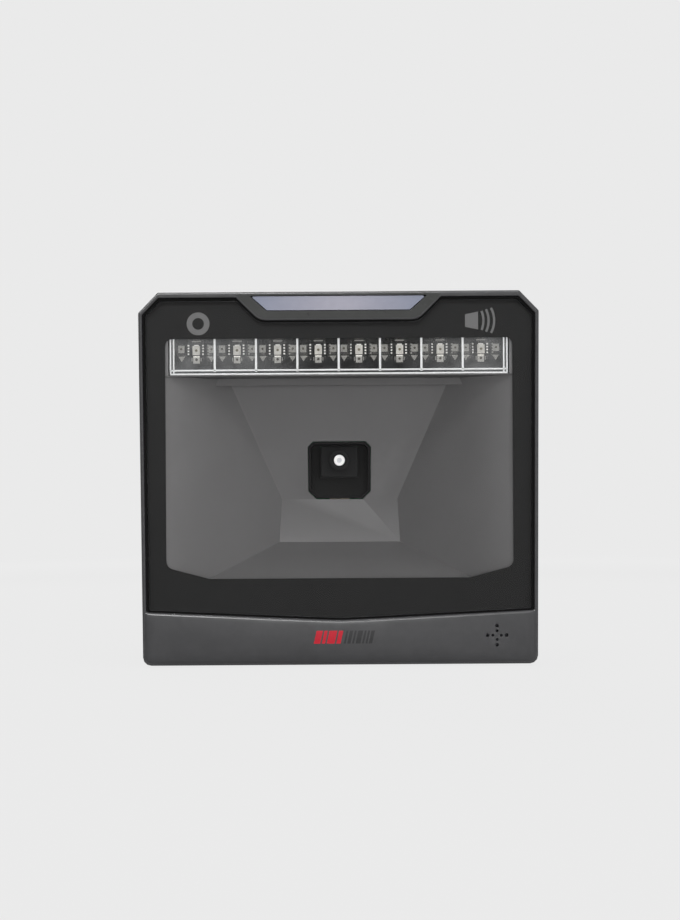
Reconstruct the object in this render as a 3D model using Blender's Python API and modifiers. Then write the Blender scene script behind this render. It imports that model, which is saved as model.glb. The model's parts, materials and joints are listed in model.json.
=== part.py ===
"""Countertop presentation barcode scanner, modelled as separate sub-parts in one frame.

Units are metres.  +X is to the right of a person who faces the window, +Y runs from the window
to the back of the scanner and +Z is up.  The origin is at the middle of the footprint, on the
surface that the scanner stands on.

Most sub-parts are described by x, by depth (how far behind the rim's front face) and by height
(how far above the body's underside); place() turns the three into a point of the frame.
"""

import math

import bmesh
import bpy
from mathutils import Matrix, Vector

MM = 0.001

# Body envelope
BODY_HEIGHT = 140.0 * MM
HALF_WIDTH_TOP = 75.2 * MM
HALF_WIDTH_BOTTOM = 74.05 * MM
BODY_DEPTH = 78.0 * MM
CHIN_BULGE = 2.3 * MM
TOP_CUT_X = 7.4 * MM
TOP_CUT_HEIGHT = 7.6 * MM
BOTTOM_RADIUS = 3.1 * MM
TOP_RADIUS = 1.0 * MM
FOOT_PROUD = 0.8 * MM
FACE_Y = CHIN_BULGE - BODY_DEPTH / 2
GAP = 0.3 * MM
OVERLAP = 0.1 * MM

# Front frame
FRAME_DEPTH = 12.0 * MM
FRAME_WALL = 1.5 * MM
RIM_ROUND = 0.95 * MM
RIM_SIDE = 1.46 * MM
RIM_CUT = 1.7 * MM
RIM_TOP = 2.2 * MM
RIM_INNER_ROUND = 0.45 * MM
CHIN_EDGE_MIDDLE = 16.7 * MM
CHIN_EDGE_END = 20.1 * MM
CHIN_EDGE_ROUND = 0.9 * MM
CHIN_WALL = 1.5 * MM
CHIN_SUNK = 0.05 * MM
CHIN_COLUMNS = 36
TAB_HALF_TOP = 38.5 * MM
TAB_HALF_LOW = 29.8 * MM
TAB_LOW = 129.2 * MM
TAB_RADIUS = 6.2 * MM
LEDGE_FRONT = 4.0 * MM
LEDGE_BACK = 5.8 * MM
LEDGE_HALF = 68.6 * MM
LEDGE_LOW = 23.8 * MM
LEDGE_HIGH = 127.3 * MM

# Window
GLASS_FRONT = 0.5 * MM
GLASS_BACK = 2.5 * MM
GLASS_GAP_SIDE = 1.0 * MM
GLASS_GAP_TAB = 0.6 * MM
MASK_FRONT = 2.8 * MM
MASK_BACK = 3.0 * MM
CLEAR_HALF = 65.3 * MM
CLEAR_TOP = 122.6 * MM
CLEAR_LOW = 32.3 * MM
CLEAR_LOW_HALF = 49.0 * MM
CLEAR_LOW_END = 36.6 * MM
GASKET_FRONT = 3.3 * MM
GASKET_BACK = 3.7 * MM
GASKET_WIDTH = 2.8 * MM
TOUCH_PAD_X = 52.8 * MM
TOUCH_PAD_HEIGHT = 128.5 * MM
TOUCH_PAD_SIZE = (12.0 * MM, 9.0 * MM)

# Status light
STATUS_TOP = 138.2 * MM
STATUS_LOW = 132.95 * MM
STATUS_HALF_TOP = 32.8 * MM
STATUS_HALF_LOW = 26.8 * MM
STATUS_RADIUS = 0.4 * MM
STATUS_FRONT = 0.25 * MM
STATUS_BACK = 6.9 * MM
STATUS_LED_X = (-20.0 * MM, 0.0, 20.0 * MM)
STATUS_LED_THICKNESS = 1.1 * MM
STATUS_BOARD_HALF = 28.0 * MM
STATUS_BOARD_LOW = 131.5 * MM
STATUS_BOARD_HIGH = 137.5 * MM
STATUS_BOARD_FRONT = 8.9 * MM
STATUS_BOARD_BACK = 10.1 * MM

# Lamp bar
CELL_COUNT = 8
CELL_PITCH = 15.583 * MM
CELL_FRONT = (14.6 * MM, 15.1 * MM)
CELL_BACK = (6.8 * MM, 5.2 * MM)
CELL_FRONT_LOW = 110.95 * MM
LAMP_LED_HEIGHT = 119.15 * MM
LAMP_HALF = 63.87 * MM
LAMP_LOW = 109.06 * MM
LAMP_HIGH = 126.8 * MM
LAMP_FRONT = 4.0 * MM
LAMP_BACK = 13.3 * MM
LED_FRONT = 13.6 * MM
LED_BACK = 14.9 * MM
LED_SIZE = (2.8 * MM, 3.5 * MM)
LAMP_BOARD_FRONT = 15.2 * MM
LAMP_BOARD_BACK = 16.8 * MM
LAMP_BOARD_HALF = 72.2 * MM
LAMP_BOARD_LOW = 110.6 * MM
LAMP_SCREW_X = 70.2 * MM

# Optical baffle: a faceted funnel, half of its corners as (x, depth, height)
BAFFLE_WALL = 1.5 * MM
MOUTH_HALF = 66.8 * MM
MOUTH_DEPTH = 3.4 * MM
FOLD_HALF = 54.8 * MM
FOLD_DEPTH = 12.0 * MM
SIDE_SLOPE = 1.21
FLOOR_SLOPE = 0.404
BAFFLE_TOP = 108.6 * MM
LIP_LOW_HALF = 47.8 * MM
LIP_LOW_HEIGHT = 105.9 * MM
LIP_HIGH_HALF = 46.4 * MM
LIP_HIGH_HEIGHT = 110.3 * MM
BACK_HALF = 42.1 * MM
BACK_HEIGHT = 106.3 * MM
DEEP_HALF = 23.4 * MM
DEEP_HEIGHT = 61.5 * MM
DEEP_LOW_HALF = 24.4 * MM
DEEP_LOW_HEIGHT = 44.2 * MM
EAR_HEIGHTS = (40.0 * MM, 100.0 * MM)
EAR_SCREW_X = 70.9 * MM
EAR_REACH = (64.3 * MM, 72.4 * MM)
EAR_HALF_HEIGHT = 3.5 * MM

# Camera
HOOD_HALF = 12.3 * MM
HOOD_LOW = 61.7 * MM
HOOD_HIGH = 84.3 * MM
HOOD_FRONT = 37.0 * MM
HOOD_BACK = 57.0 * MM
HOOD_WALL = 0.9 * MM
HOOD_PROUD = 0.4 * MM
CAMERA_HEIGHT = 77.1 * MM
HOLDER_HALF = 7.5 * MM
HOLDER_LOW = 70.2 * MM
HOLDER_HIGH = 82.6 * MM
HOLDER_FRONT = 44.0 * MM
HOLDER_BACK = 53.7 * MM
BARREL_RADIUS = 4.2 * MM
LENS_RADIUS = 2.25 * MM
LENS_SUNK = 1.3 * MM
BARREL_FRONT = 41.0 * MM
CAMERA_BOARD_FRONT = 54.0 * MM
CAMERA_BOARD_BACK = 55.2 * MM
CAMERA_BOARD_HALF = 10.6 * MM
CAMERA_BOARD_LOW = 63.8 * MM
CAMERA_BOARD_HIGH = 82.4 * MM
BARREL_BORE = 3.3 * MM
RIBBON_HALF = 4.0 * MM
RIBBON_THICKNESS = 0.3 * MM
RIBBON_TOP = 74.0 * MM
RIBBON_FOLD = 64.8 * MM
RIBBON_END = 50.0 * MM

# Main board and interface
BOARD_FRONT = 60.0 * MM
BOARD_BACK = 61.6 * MM
BOARD_HALF = 42.0 * MM
BOARD_LOW = 8.0 * MM
BOARD_HIGH = 92.0 * MM
BOARD_SCREWS = ((-38.0, 12.0), (38.0, 12.0), (38.0, 88.0), (-38.0, 88.0))
SOCKET_HALF = 8.0 * MM
SOCKET_LOW = 12.5 * MM
SOCKET_HIGH = 27.5 * MM
SOCKET_FRONT = 61.9 * MM
SOCKET_BACK = 73.4 * MM
SOCKET_MOUTH_HALF = 6.2 * MM
SOCKET_MOUTH_LOW = 15.6 * MM
SOCKET_MOUTH_HIGH = 24.0 * MM
SOCKET_SLOT_HALF = 3.2 * MM
SOCKET_SLOT_LOW = 13.6 * MM
CAN_LOW_CORNER = (4.0 * MM, 61.9 * MM, 42.0 * MM)
CAN_HIGH_CORNER = (34.0 * MM, 64.4 * MM, 66.0 * MM)

# Speaker
SPEAKER_X = 58.5 * MM
SPEAKER_HEIGHT = 10.9 * MM
SPEAKER_RADIUS = 6.0 * MM
SPEAKER_GASKET = (1.8 * MM, 2.8 * MM)
SPEAKER_FRAME = (3.1 * MM, 8.0 * MM)
CONE_FRONT = 3.9 * MM
CONE_RADIUS = 4.8 * MM

# Rear housing
HOUSING_WALL = 2.2 * MM
HOUSING_FRONT = 12.4 * MM
HOUSING_FOLD = 24.0 * MM
HOUSING_BACK = BODY_DEPTH - CHIN_BULGE
TONGUE_FRONT = 10.4 * MM
TONGUE_INSET = FRAME_WALL + GAP
TONGUE_WALL = 1.0 * MM
REAR_HALF_LOW = 46.0 * MM
REAR_HALF_HIGH = 46.76 * MM
REAR_HEIGHT = 96.0 * MM
REAR_CUT_X = 8.76 * MM
REAR_CUT_HEIGHT = 9.0 * MM
CASE_SCREWS = ((-67.6, 7.2), (67.6, 7.2), (64.0, 132.1), (-64.0, 132.1))
CASE_SCREW_SEAT = 18.3 * MM
CASE_BOSS_BACK = 16.0 * MM
SLEEVE_RADIUS = 4.9 * MM
POCKET_RADIUS = 3.4 * MM
FEET = ((-55.0, 20.0), (55.0, 20.0), (34.0, 66.0), (-34.0, 66.0))
FOOT_RADIUS = 5.0 * MM
FOOT_THICKNESS = 1.6 * MM
LABEL_HALF = 22.0 * MM
LABEL_LOW = 50.0 * MM
LABEL_HIGH = 72.0 * MM

# Finish name: colour, roughness, metallic value
FINISHES = {
    "frame_plastic": ((0.085, 0.087, 0.092), 0.42, 0.0),
    "housing_plastic": ((0.05, 0.051, 0.054), 0.55, 0.0),
    "window_clear": ((0.9, 0.93, 0.94), 0.03, 0.0),
    "mask_black": ((0.028, 0.028, 0.03), 0.3, 0.0),
    "foam": ((0.02, 0.02, 0.02), 0.95, 0.0),
    "diffuser": ((0.38, 0.41, 0.5), 0.3, 0.0),
    "lamp_clear": ((0.92, 0.94, 0.95), 0.04, 0.0),
    "board_black": ((0.02, 0.022, 0.02), 0.5, 0.0),
    "board_green": ((0.02, 0.16, 0.07), 0.45, 0.0),
    "led_package": ((0.75, 0.73, 0.6), 0.5, 0.0),
    "baffle_plastic": ((0.16, 0.16, 0.163), 0.6, 0.0),
    "hood_plastic": ((0.015, 0.015, 0.016), 0.6, 0.0),
    "lens_glass": ((0.85, 0.86, 0.88), 0.05, 0.0),
    "screw_steel": ((0.55, 0.55, 0.56), 0.35, 1.0),
    "shield_steel": ((0.7, 0.7, 0.7), 0.3, 1.0),
    "socket_plastic": ((0.03, 0.03, 0.03), 0.45, 0.0),
    "speaker_plastic": ((0.03, 0.03, 0.032), 0.5, 0.0),
    "cone_paper": ((0.09, 0.09, 0.1), 0.8, 0.0),
    "touch_copper": ((0.8, 0.45, 0.25), 0.35, 1.0),
    "ribbon_film": ((0.75, 0.7, 0.6), 0.4, 0.0),
    "wire_jacket": ((0.6, 0.03, 0.03), 0.5, 0.0),
    "foot_rubber": ((0.02, 0.02, 0.02), 0.85, 0.0),
    "label_film": ((0.6, 0.61, 0.62), 0.35, 0.0),
}


# ---------------------------------------------------------------- scene and materials


def clear_scene():
    for obj in list(bpy.data.objects):
        bpy.data.objects.remove(obj, do_unlink=True)


def make_collection(name):
    collection = bpy.data.collections.new(name)
    bpy.context.scene.collection.children.link(collection)
    return collection


def make_finish(name):
    colour, roughness, metallic = FINISHES[name]
    finish = bpy.data.materials.new(name)
    finish.use_nodes = True
    shader = finish.node_tree.nodes["Principled BSDF"]
    shader.inputs["Base Color"].default_value = (*colour, 1.0)
    shader.inputs["Roughness"].default_value = roughness
    shader.inputs["Metallic"].default_value = metallic
    finish.diffuse_color = (*colour, 1.0)
    return finish


clear_scene()
PARTS = make_collection("barcode_scanner")
CUTTERS = make_collection("cutters")
MATERIALS = {name: make_finish(name) for name in FINISHES}


def add_part(name, mesh, finish, location=(0.0, 0.0, 0.0)):
    part = bpy.data.objects.new(name, mesh)
    part.location = location
    PARTS.objects.link(part)
    if not mesh.materials:
        mesh.materials.append(MATERIALS[finish])
    return part


def add_cutter(name, mesh, location=(0.0, 0.0, 0.0)):
    cutter = bpy.data.objects.new(name, mesh)
    cutter.location = location
    cutter.hide_render = True
    cutter.display_type = "WIRE"
    CUTTERS.objects.link(cutter)
    return cutter


def combine(target, operation, name, mesh, location=(0.0, 0.0, 0.0)):
    """Applies one more solid to the target; the solid is kept with the cutters."""
    tool = add_cutter(f"{target.name}.{name}", mesh, location)
    modifier = target.modifiers.new(name, "BOOLEAN")
    modifier.operation = operation
    modifier.solver = "EXACT"
    modifier.object = tool
    return tool


def cut(target, name, mesh, location=(0.0, 0.0, 0.0)):
    return combine(target, "DIFFERENCE", name, mesh, location)


def join(target, name, mesh, location=(0.0, 0.0, 0.0)):
    return combine(target, "UNION", name, mesh, location)


# ---------------------------------------------------------------- points and outlines


def place(x, depth, height):
    return Vector((x, FACE_Y + depth, FOOT_PROUD + height))


def blend(start, end, share):
    return start + (end - start) * share


def body_half_width(height):
    return blend(HALF_WIDTH_BOTTOM, HALF_WIDTH_TOP, height / BODY_HEIGHT)


def mirrored(right_side):
    """Closes an outline from its right half, which runs anticlockwise and ends short of x = 0."""
    left_side = [(-x, h) for x, h in reversed(right_side) if x > 0.0]
    return right_side + left_side


def body_corners():
    shoulder = BODY_HEIGHT - TOP_CUT_HEIGHT
    return [
        (-HALF_WIDTH_BOTTOM, 0.0),
        (HALF_WIDTH_BOTTOM, 0.0),
        (body_half_width(shoulder), shoulder),
        (HALF_WIDTH_TOP - TOP_CUT_X, BODY_HEIGHT),
        (TOP_CUT_X - HALF_WIDTH_TOP, BODY_HEIGHT),
        (-body_half_width(shoulder), shoulder),
    ]


def inset(points, distances):
    """Moves every edge of an anticlockwise outline inwards, each by its own distance."""
    count = len(points)
    if not isinstance(distances, (list, tuple)):
        distances = [distances] * count
    lines = []
    for i, distance in enumerate(distances):
        start = Vector(points[i])
        along = (Vector(points[(i + 1) % count]) - start).normalized()
        inward = Vector((-along.y, along.x))
        lines.append((start + inward * distance, along))
    moved = []
    for i in range(count):
        before, before_along = lines[i - 1]
        after, after_along = lines[i]
        cross = before_along.x * after_along.y - before_along.y * after_along.x
        offset = after - before
        reach = (offset.x * after_along.y - offset.y * after_along.x) / cross
        corner = before + before_along * reach
        moved.append((corner.x, corner.y))
    return moved


def rounded(points, radii, steps=3):
    """Replaces each corner of an outline by an arc of its own radius."""
    if not isinstance(radii, (list, tuple)):
        radii = [radii] * len(points)
    result = []
    for i, radius in enumerate(radii):
        corner = Vector(points[i])
        back = (Vector(points[i - 1]) - corner).normalized()
        ahead = (Vector(points[(i + 1) % len(points)]) - corner).normalized()
        half_angle = back.angle(ahead) / 2
        tangent = radius / math.tan(half_angle)
        centre = corner + (back + ahead).normalized() * (radius / math.sin(half_angle))
        first = corner + back * tangent - centre
        last = corner + ahead * tangent - centre
        sweep = first.angle_signed(last)
        for step in range(steps + 1):
            turn = Matrix.Rotation(-sweep * step / steps, 2)
            point = centre + turn @ first
            result.append((point.x, point.y))
    return result


def rectangle(half_width, low, high, middle=0.0):
    return [
        (middle - half_width, low),
        (middle + half_width, low),
        (middle + half_width, high),
        (middle - half_width, high),
    ]


def frame_outline(distance=0.0):
    corners = inset(body_corners(), distance)
    low = max(BOTTOM_RADIUS - distance, 0.3 * MM)
    return rounded(corners, [low, low] + [TOP_RADIUS] * 4)


def window_corners():
    """The frame's inner edge: V-shaped chin edge, sides, top cuts and the status light's tab."""
    distances = [0.0, RIM_SIDE, RIM_CUT, RIM_TOP, RIM_CUT, RIM_SIDE]
    inner = inset(body_corners(), distances)
    return mirrored(
        [
            (0.0, CHIN_EDGE_MIDDLE),
            (body_half_width(CHIN_EDGE_END) - RIM_SIDE, CHIN_EDGE_END),
            inner[2],
            inner[3],
            (TAB_HALF_TOP, BODY_HEIGHT - RIM_TOP),
            (TAB_HALF_LOW, TAB_LOW),
        ]
    )


def window_outline(sides, tab, extra=0.0):
    """The window's edge moved in: one distance at the sides, another at the tab and chin."""
    distances = [tab, sides, sides, sides, tab, tab, tab, sides, sides, sides, tab]
    corners = inset(window_corners(), distances)
    small = 0.7 * MM + extra
    radii = [100.0 * MM] + [small] * 4 + [TAB_RADIUS] * 2 + [small] * 4
    return rounded(corners, radii, 4)


def clear_outline():
    corners = mirrored(
        [
            (CLEAR_LOW_HALF, CLEAR_LOW),
            (CLEAR_HALF, CLEAR_LOW_END),
            (CLEAR_HALF, CLEAR_TOP),
        ]
    )
    low, high = 3.1 * MM, 2.6 * MM
    return rounded(corners, [4.0 * MM, low, high, high, low, 4.0 * MM], 4)


def status_corners(grow=0.0):
    """The status light's trapezoid; it grows at its sides and underside, not at its top."""
    return mirrored(
        [
            (STATUS_HALF_LOW + grow, STATUS_LOW - grow),
            (STATUS_HALF_TOP + grow, STATUS_TOP),
        ]
    )


# ---------------------------------------------------------------- solids


def mesh_from(bm, name, smooth_angle=35.0):
    bmesh.ops.recalc_face_normals(bm, faces=bm.faces)
    mesh = bpy.data.meshes.new(name)
    bm.to_mesh(mesh)
    bm.free()
    mesh.shade_smooth()
    mesh.set_sharp_from_angle(angle=math.radians(smooth_angle))
    return mesh


def evaluated(source, name):
    """The mesh of a curve or of an object with modifiers, in world space and welded."""
    PARTS.objects.link(source)
    bpy.context.view_layer.update()
    graph = bpy.context.evaluated_depsgraph_get()
    shape = bpy.data.meshes.new_from_object(source.evaluated_get(graph), depsgraph=graph)
    shape.transform(source.matrix_world)
    bpy.data.objects.remove(source, do_unlink=True)
    bm = bmesh.new()
    bm.from_mesh(shape)
    bmesh.ops.remove_doubles(bm, verts=bm.verts, dist=0.01 * MM)
    bpy.data.meshes.remove(shape)
    return mesh_from(bm, name)


def plate(name, outlines, front, back):
    """A flat plate that faces the front, from its outline and the outlines of its holes."""
    curve = bpy.data.curves.new(name, "CURVE")
    curve.dimensions = "2D"
    curve.fill_mode = "BOTH"
    curve.extrude = (back - front) / 2
    for outline in outlines:
        spline = curve.splines.new("POLY")
        spline.points.add(len(outline) - 1)
        for point, (x, height) in zip(spline.points, outline):
            point.co = (x, height, 0.0, 1.0)
        spline.use_cyclic_u = True
    flat = bpy.data.objects.new(name, curve)
    flat.location = place(0.0, (front + back) / 2, 0.0)
    flat.rotation_euler = (math.pi / 2, 0.0, 0.0)
    mesh = evaluated(flat, name)
    bpy.data.curves.remove(curve)
    return mesh


def loft(name, rings):
    """A closed solid through rings of (depth, outline), every outline with as many points."""
    bm = bmesh.new()
    loops = []
    for depth, outline in rings:
        loops.append([bm.verts.new(place(x, depth, height)) for x, height in outline])
    for near, far in zip(loops, loops[1:]):
        for i in range(len(near)):
            bm.faces.new((near[i - 1], near[i], far[i], far[i - 1]))
    bm.faces.new(loops[0])
    bm.faces.new(loops[-1])
    return mesh_from(bm, name)


def box(name, low, high):
    """A box between two corners, each (x, depth, height)."""
    near, far = place(*low), place(*high)
    size = far - near
    bm = bmesh.new()
    scale = Matrix.Diagonal((*size, 1.0))
    bmesh.ops.create_cube(bm, size=1.0, matrix=Matrix.Translation((near + far) / 2) @ scale)
    return mesh_from(bm, name)


def rod(name, x, height, radius, front, back, segments=20):
    """A cylinder that lies along the depth axis."""
    bm = bmesh.new()
    middle = Matrix.Translation(place(x, (front + back) / 2, height))
    turn = Matrix.Rotation(math.pi / 2, 4, "X")
    bmesh.ops.create_cone(
        bm,
        cap_ends=True,
        segments=segments,
        radius1=radius,
        radius2=radius,
        depth=back - front,
        matrix=middle @ turn,
    )
    return mesh_from(bm, name)


def turned(name, profile, steps=20):
    """A solid of revolution about its own Z axis from a closed profile of (radius, z)."""
    bm = bmesh.new()
    verts = [bm.verts.new((radius, 0.0, z)) for radius, z in profile]
    for start, end in zip(verts, verts[1:]):
        bm.edges.new((start, end))
    if profile[0][0] > 0.0:
        bm.edges.new((verts[-1], verts[0]))
    mesh = bpy.data.meshes.new(name)
    bm.to_mesh(mesh)
    bm.free()
    spun = bpy.data.objects.new(name, mesh)
    screw = spun.modifiers.new("turn", "SCREW")
    screw.axis = "Z"
    screw.angle = math.tau
    screw.steps = steps
    screw.render_steps = steps
    screw.use_merge_vertices = True
    screw.merge_threshold = 0.01 * MM
    screw.use_normal_calculate = True
    solid = evaluated(spun, name)
    bpy.data.meshes.remove(mesh)
    return solid


def facing_front(mesh):
    """Turns a mesh so that its own +Z points out of the scanner's front."""
    mesh.transform(Matrix.Rotation(math.pi / 2, 4, "X"))
    return mesh


def facing_back(mesh):
    """Turns a mesh so that its own +Z points out of the scanner's back."""
    mesh.transform(Matrix.Rotation(-math.pi / 2, 4, "X"))
    return mesh


def screw_profile(head_radius, head_height, shank_radius, length):
    """A pan head above z = 0 with its shank below, from the top of the axis down."""
    return [
        (0.0, head_height),
        (head_radius * 0.75, head_height),
        (head_radius, head_height * 0.6),
        (head_radius, 0.0),
        (shank_radius, 0.0),
        (shank_radius, -length + shank_radius * 0.5),
        (shank_radius * 0.5, -length),
        (0.0, -length),
    ]


def tube(name, points, radius, finish):
    """A wire along a smooth curve through the given points, each (x, depth, height)."""
    path = [place(*point) for point in points]
    path = [path[0] * 2 - path[1]] + path + [path[-1] * 2 - path[-2]]
    route = []
    for before, start, end, after in zip(path, path[1:], path[2:], path[3:]):
        for step in range(5):
            t = step / 5
            bend = before * (-t + 2 * t**2 - t**3) + start * (2 - 5 * t**2 + 3 * t**3)
            bend += end * (t + 4 * t**2 - 3 * t**3) + after * (t**3 - t**2)
            route.append(bend / 2)
    route.append(path[-2])
    curve = bpy.data.curves.new(name, "CURVE")
    curve.dimensions = "3D"
    curve.bevel_depth = radius
    curve.bevel_resolution = 1
    curve.use_fill_caps = True
    spline = curve.splines.new("POLY")
    spline.points.add(len(route) - 1)
    for point, position in zip(spline.points, route):
        point.co = (*position, 1.0)
    wire = bpy.data.objects.new(name, curve)
    mesh = evaluated(wire, name)
    bpy.data.curves.remove(curve)
    return add_part(name, mesh, finish)


# ---------------------------------------------------------------- front frame


def chin_edge(x):
    """Height of the chin's top edge: a shallow V with a soft middle."""
    end = body_half_width(CHIN_EDGE_END) - RIM_SIDE
    soft = 3.0 * MM
    run = math.hypot(x, soft) - soft
    return CHIN_EDGE_MIDDLE + (CHIN_EDGE_END - CHIN_EDGE_MIDDLE) * run / end


def round_off(distance, radius):
    """0 at an edge, rising along a quarter circle to 1 at the given radius from it."""
    share = min(max(distance / radius, 0.0), 1.0)
    return math.sqrt(1.0 - (1.0 - share) ** 2)


def chin_shares():
    """Rows of the chin from its underside to its top edge, closer together at the edges."""
    rows = [0.0, 0.02, 0.06, 0.12, 0.2, 0.32, 0.45, 0.58, 0.7, 0.8, 0.88]
    return rows + [0.945, 0.97, 0.985, 0.995, 1.0]


def chin_columns():
    """Columns from the left end to the right end, closer together at the ends."""
    angles = [math.pi * i / CHIN_COLUMNS for i in range(CHIN_COLUMNS + 1)]
    return [-math.copysign(abs(math.cos(a)) ** 0.8, math.cos(a)) for a in angles]


def chin_swell(x, low, high, half):
    """How far the chin stands out of the rim's face at one place."""
    across = 1.0 - 0.55 * (x / half) ** 2
    ends = round_off(half - abs(x), 3.0 * MM)
    foot = round_off(low, 5.0 * MM)
    rise = low / (low + high)
    slope = 1.0 - 0.5 * (max(rise - 0.42, 0.0) / 0.58) ** 2
    top = CHIN_EDGE_ROUND * (1.0 - round_off(high, CHIN_EDGE_ROUND))
    return (CHIN_BULGE + CHIN_SUNK) * across * ends * foot * slope - top * ends


def chin_mesh():
    """A pillow-shaped pad whose front is the chin; its back is sunk into the frame."""
    half = HALF_WIDTH_BOTTOM - RIM_ROUND
    radius = BOTTOM_RADIUS - RIM_ROUND
    bm = bmesh.new()
    columns = []
    for share in chin_columns():
        x = half * share
        reach = max(abs(x) - (half - radius), 0.0)
        low = RIM_ROUND + radius - math.sqrt(max(radius**2 - reach**2, 0.0))
        span = chin_edge(x) + CHIN_SUNK - low
        column = []
        for row in chin_shares():
            out = chin_swell(x, span * row, span * (1.0 - row), half)
            column.append(bm.verts.new(place(x, CHIN_SUNK - out, low + span * row)))
        columns.append(column)
    for left, right in zip(columns, columns[1:]):
        for i in range(len(left) - 1):
            bm.faces.new((left[i], right[i], right[i + 1], left[i + 1]))
    pad = bmesh.ops.extrude_face_region(bm, geom=bm.faces[:], use_keep_orig=True)
    for vert in pad["geom"]:
        if isinstance(vert, bmesh.types.BMVert):
            vert.co.y = FACE_Y + CHIN_WALL
    return mesh_from(bm, "chin")


def rim_mesh():
    rings = [
        (0.0, RIM_ROUND),
        (0.08 * MM, 0.57 * MM),
        (0.3 * MM, 0.26 * MM),
        (0.95 * MM, 0.0),
        (FRAME_DEPTH - 0.35 * MM, 0.0),
        (FRAME_DEPTH, 0.35 * MM),
    ]
    return loft("rim", [(depth, frame_outline(distance)) for depth, distance in rings])


def window_cutter():
    """The window's opening, flared at the front so that the rim's inner edge is rounded."""
    flare = [(-0.2 * MM, 1.1), (0.0, 1.0), (0.06 * MM, 0.5), (0.2 * MM, 0.16), (0.45 * MM, 0.0)]
    rings = [(d, window_outline(-RIM_INNER_ROUND * f, -RIM_INNER_ROUND * f)) for d, f in flare]
    rings.append((LEDGE_FRONT, window_outline(0.0, 0.0)))
    return loft("window", rings)


def chin_pocket():
    """The hollow behind the chin, which follows the chin's V-shaped edge."""
    wall = FRAME_WALL + 0.2 * MM
    side = HALF_WIDTH_BOTTOM - wall
    right = [(side - MM, wall), (side, wall + MM), (side, CHIN_EDGE_END - wall)]
    left = [(-x, height) for x, height in reversed(right)]
    return right + [(0.0, CHIN_EDGE_MIDDLE - wall)] + left


def speaker_hole_places():
    """Four holes near the middle and four further out, in a plus."""
    for radius, size in ((1.6 * MM, 0.55 * MM), (3.55 * MM, 0.7 * MM)):
        for quarter in range(4):
            angle = quarter * math.pi / 2
            x = SPEAKER_X + radius * math.cos(angle)
            yield x, SPEAKER_HEIGHT + radius * math.sin(angle), size


def front_frame():
    frame = add_part("front_frame", rim_mesh(), "frame_plastic")
    cut(frame, "window", window_cutter())
    join(frame, "chin", chin_mesh())
    ledge = rounded(rectangle(LEDGE_HALF, LEDGE_LOW, LEDGE_HIGH), 1.5 * MM)
    through = LEDGE_BACK + OVERLAP
    cut(frame, "ledge", plate("ledge", [ledge], LEDGE_FRONT - OVERLAP, through))
    inner = frame_outline(FRAME_WALL)
    cut(frame, "inside", plate("inside", [inner], LEDGE_BACK, FRAME_DEPTH + MM))
    cut(frame, "behind_chin", plate("behind_chin", [chin_pocket()], CHIN_WALL - 0.2 * MM, through))
    light = rounded(inset(status_corners(), -GAP), STATUS_RADIUS)
    cut(frame, "status", plate("status", [light], -MM, through))
    for i, (x, height, size) in enumerate(speaker_hole_places(), 1):
        hole = rod("hole", x, height, size, -3.0 * MM, 3.0 * MM, 12)
        cut(frame, f"speaker_hole_{i}", hole)
    for i, (x, height) in enumerate(CASE_SCREWS, 1):
        behind_chin = height * MM < CHIN_EDGE_MIDDLE
        start = CHIN_WALL - 0.5 * MM if behind_chin else LEDGE_BACK - OVERLAP
        boss = rod("boss", x * MM, height * MM, 3.2 * MM, start, CASE_BOSS_BACK)
        join(frame, f"boss_{i}", boss)
        bore = rod("bore", x * MM, height * MM, 1.55 * MM, 8.5 * MM, CASE_BOSS_BACK + MM, 16)
        cut(frame, f"bore_{i}", bore)
    for side in (-1, 1):
        x = side * LAMP_SCREW_X
        name = "left" if side < 0 else "right"
        back = LAMP_BOARD_FRONT - GAP
        post = rod("post", x, LAMP_LED_HEIGHT, 1.6 * MM, LEDGE_BACK - OVERLAP, back, 16)
        join(frame, f"lamp_post_{name}", post)
        pilot = rod("pilot", x, LAMP_LED_HEIGHT, 1.0 * MM, 10.0 * MM, back + MM, 12)
        cut(frame, f"lamp_pilot_{name}", pilot)
        for j, height in enumerate(EAR_HEIGHTS, 1):
            hole = rod("hole", side * EAR_SCREW_X, height, 1.2 * MM, 3.5 * MM, 7.0 * MM, 12)
            cut(frame, f"ear_hole_{name}_{j}", hole)
    return frame


# ---------------------------------------------------------------- window


def window():
    glass = window_outline(GLASS_GAP_SIDE, GLASS_GAP_TAB)
    add_part("window_glass", plate("glass", [glass], GLASS_FRONT, GLASS_BACK), "window_clear")
    print_edge = window_outline(GLASS_GAP_SIDE + 0.2 * MM, GLASS_GAP_TAB + 0.2 * MM)
    mask = plate("mask", [print_edge, clear_outline()], MASK_FRONT, MASK_BACK)
    add_part("window_mask", mask, "mask_black")
    outer = window_outline(GLASS_GAP_SIDE + 0.4 * MM, GLASS_GAP_TAB + 0.4 * MM)
    side = GLASS_GAP_SIDE + 0.4 * MM + GASKET_WIDTH
    inner = window_outline(side, GLASS_GAP_TAB + 1.5 * MM)
    gasket = plate("gasket", [outer, inner], GASKET_FRONT, GASKET_BACK)
    add_part("window_gasket", gasket, "foam")


def touch_pads():
    width, height = TOUCH_PAD_SIZE
    for name, side in (("touch_pad_left", -1), ("touch_pad_right", 1)):
        low = TOUCH_PAD_HEIGHT - height / 2
        corners = rectangle(width / 2, low, low + height, side * TOUCH_PAD_X)
        outline = rounded(corners, 1.5 * MM)
        add_part(name, plate(name, [outline], GASKET_FRONT, GASKET_BACK), "touch_copper")


# ---------------------------------------------------------------- status light


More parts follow.
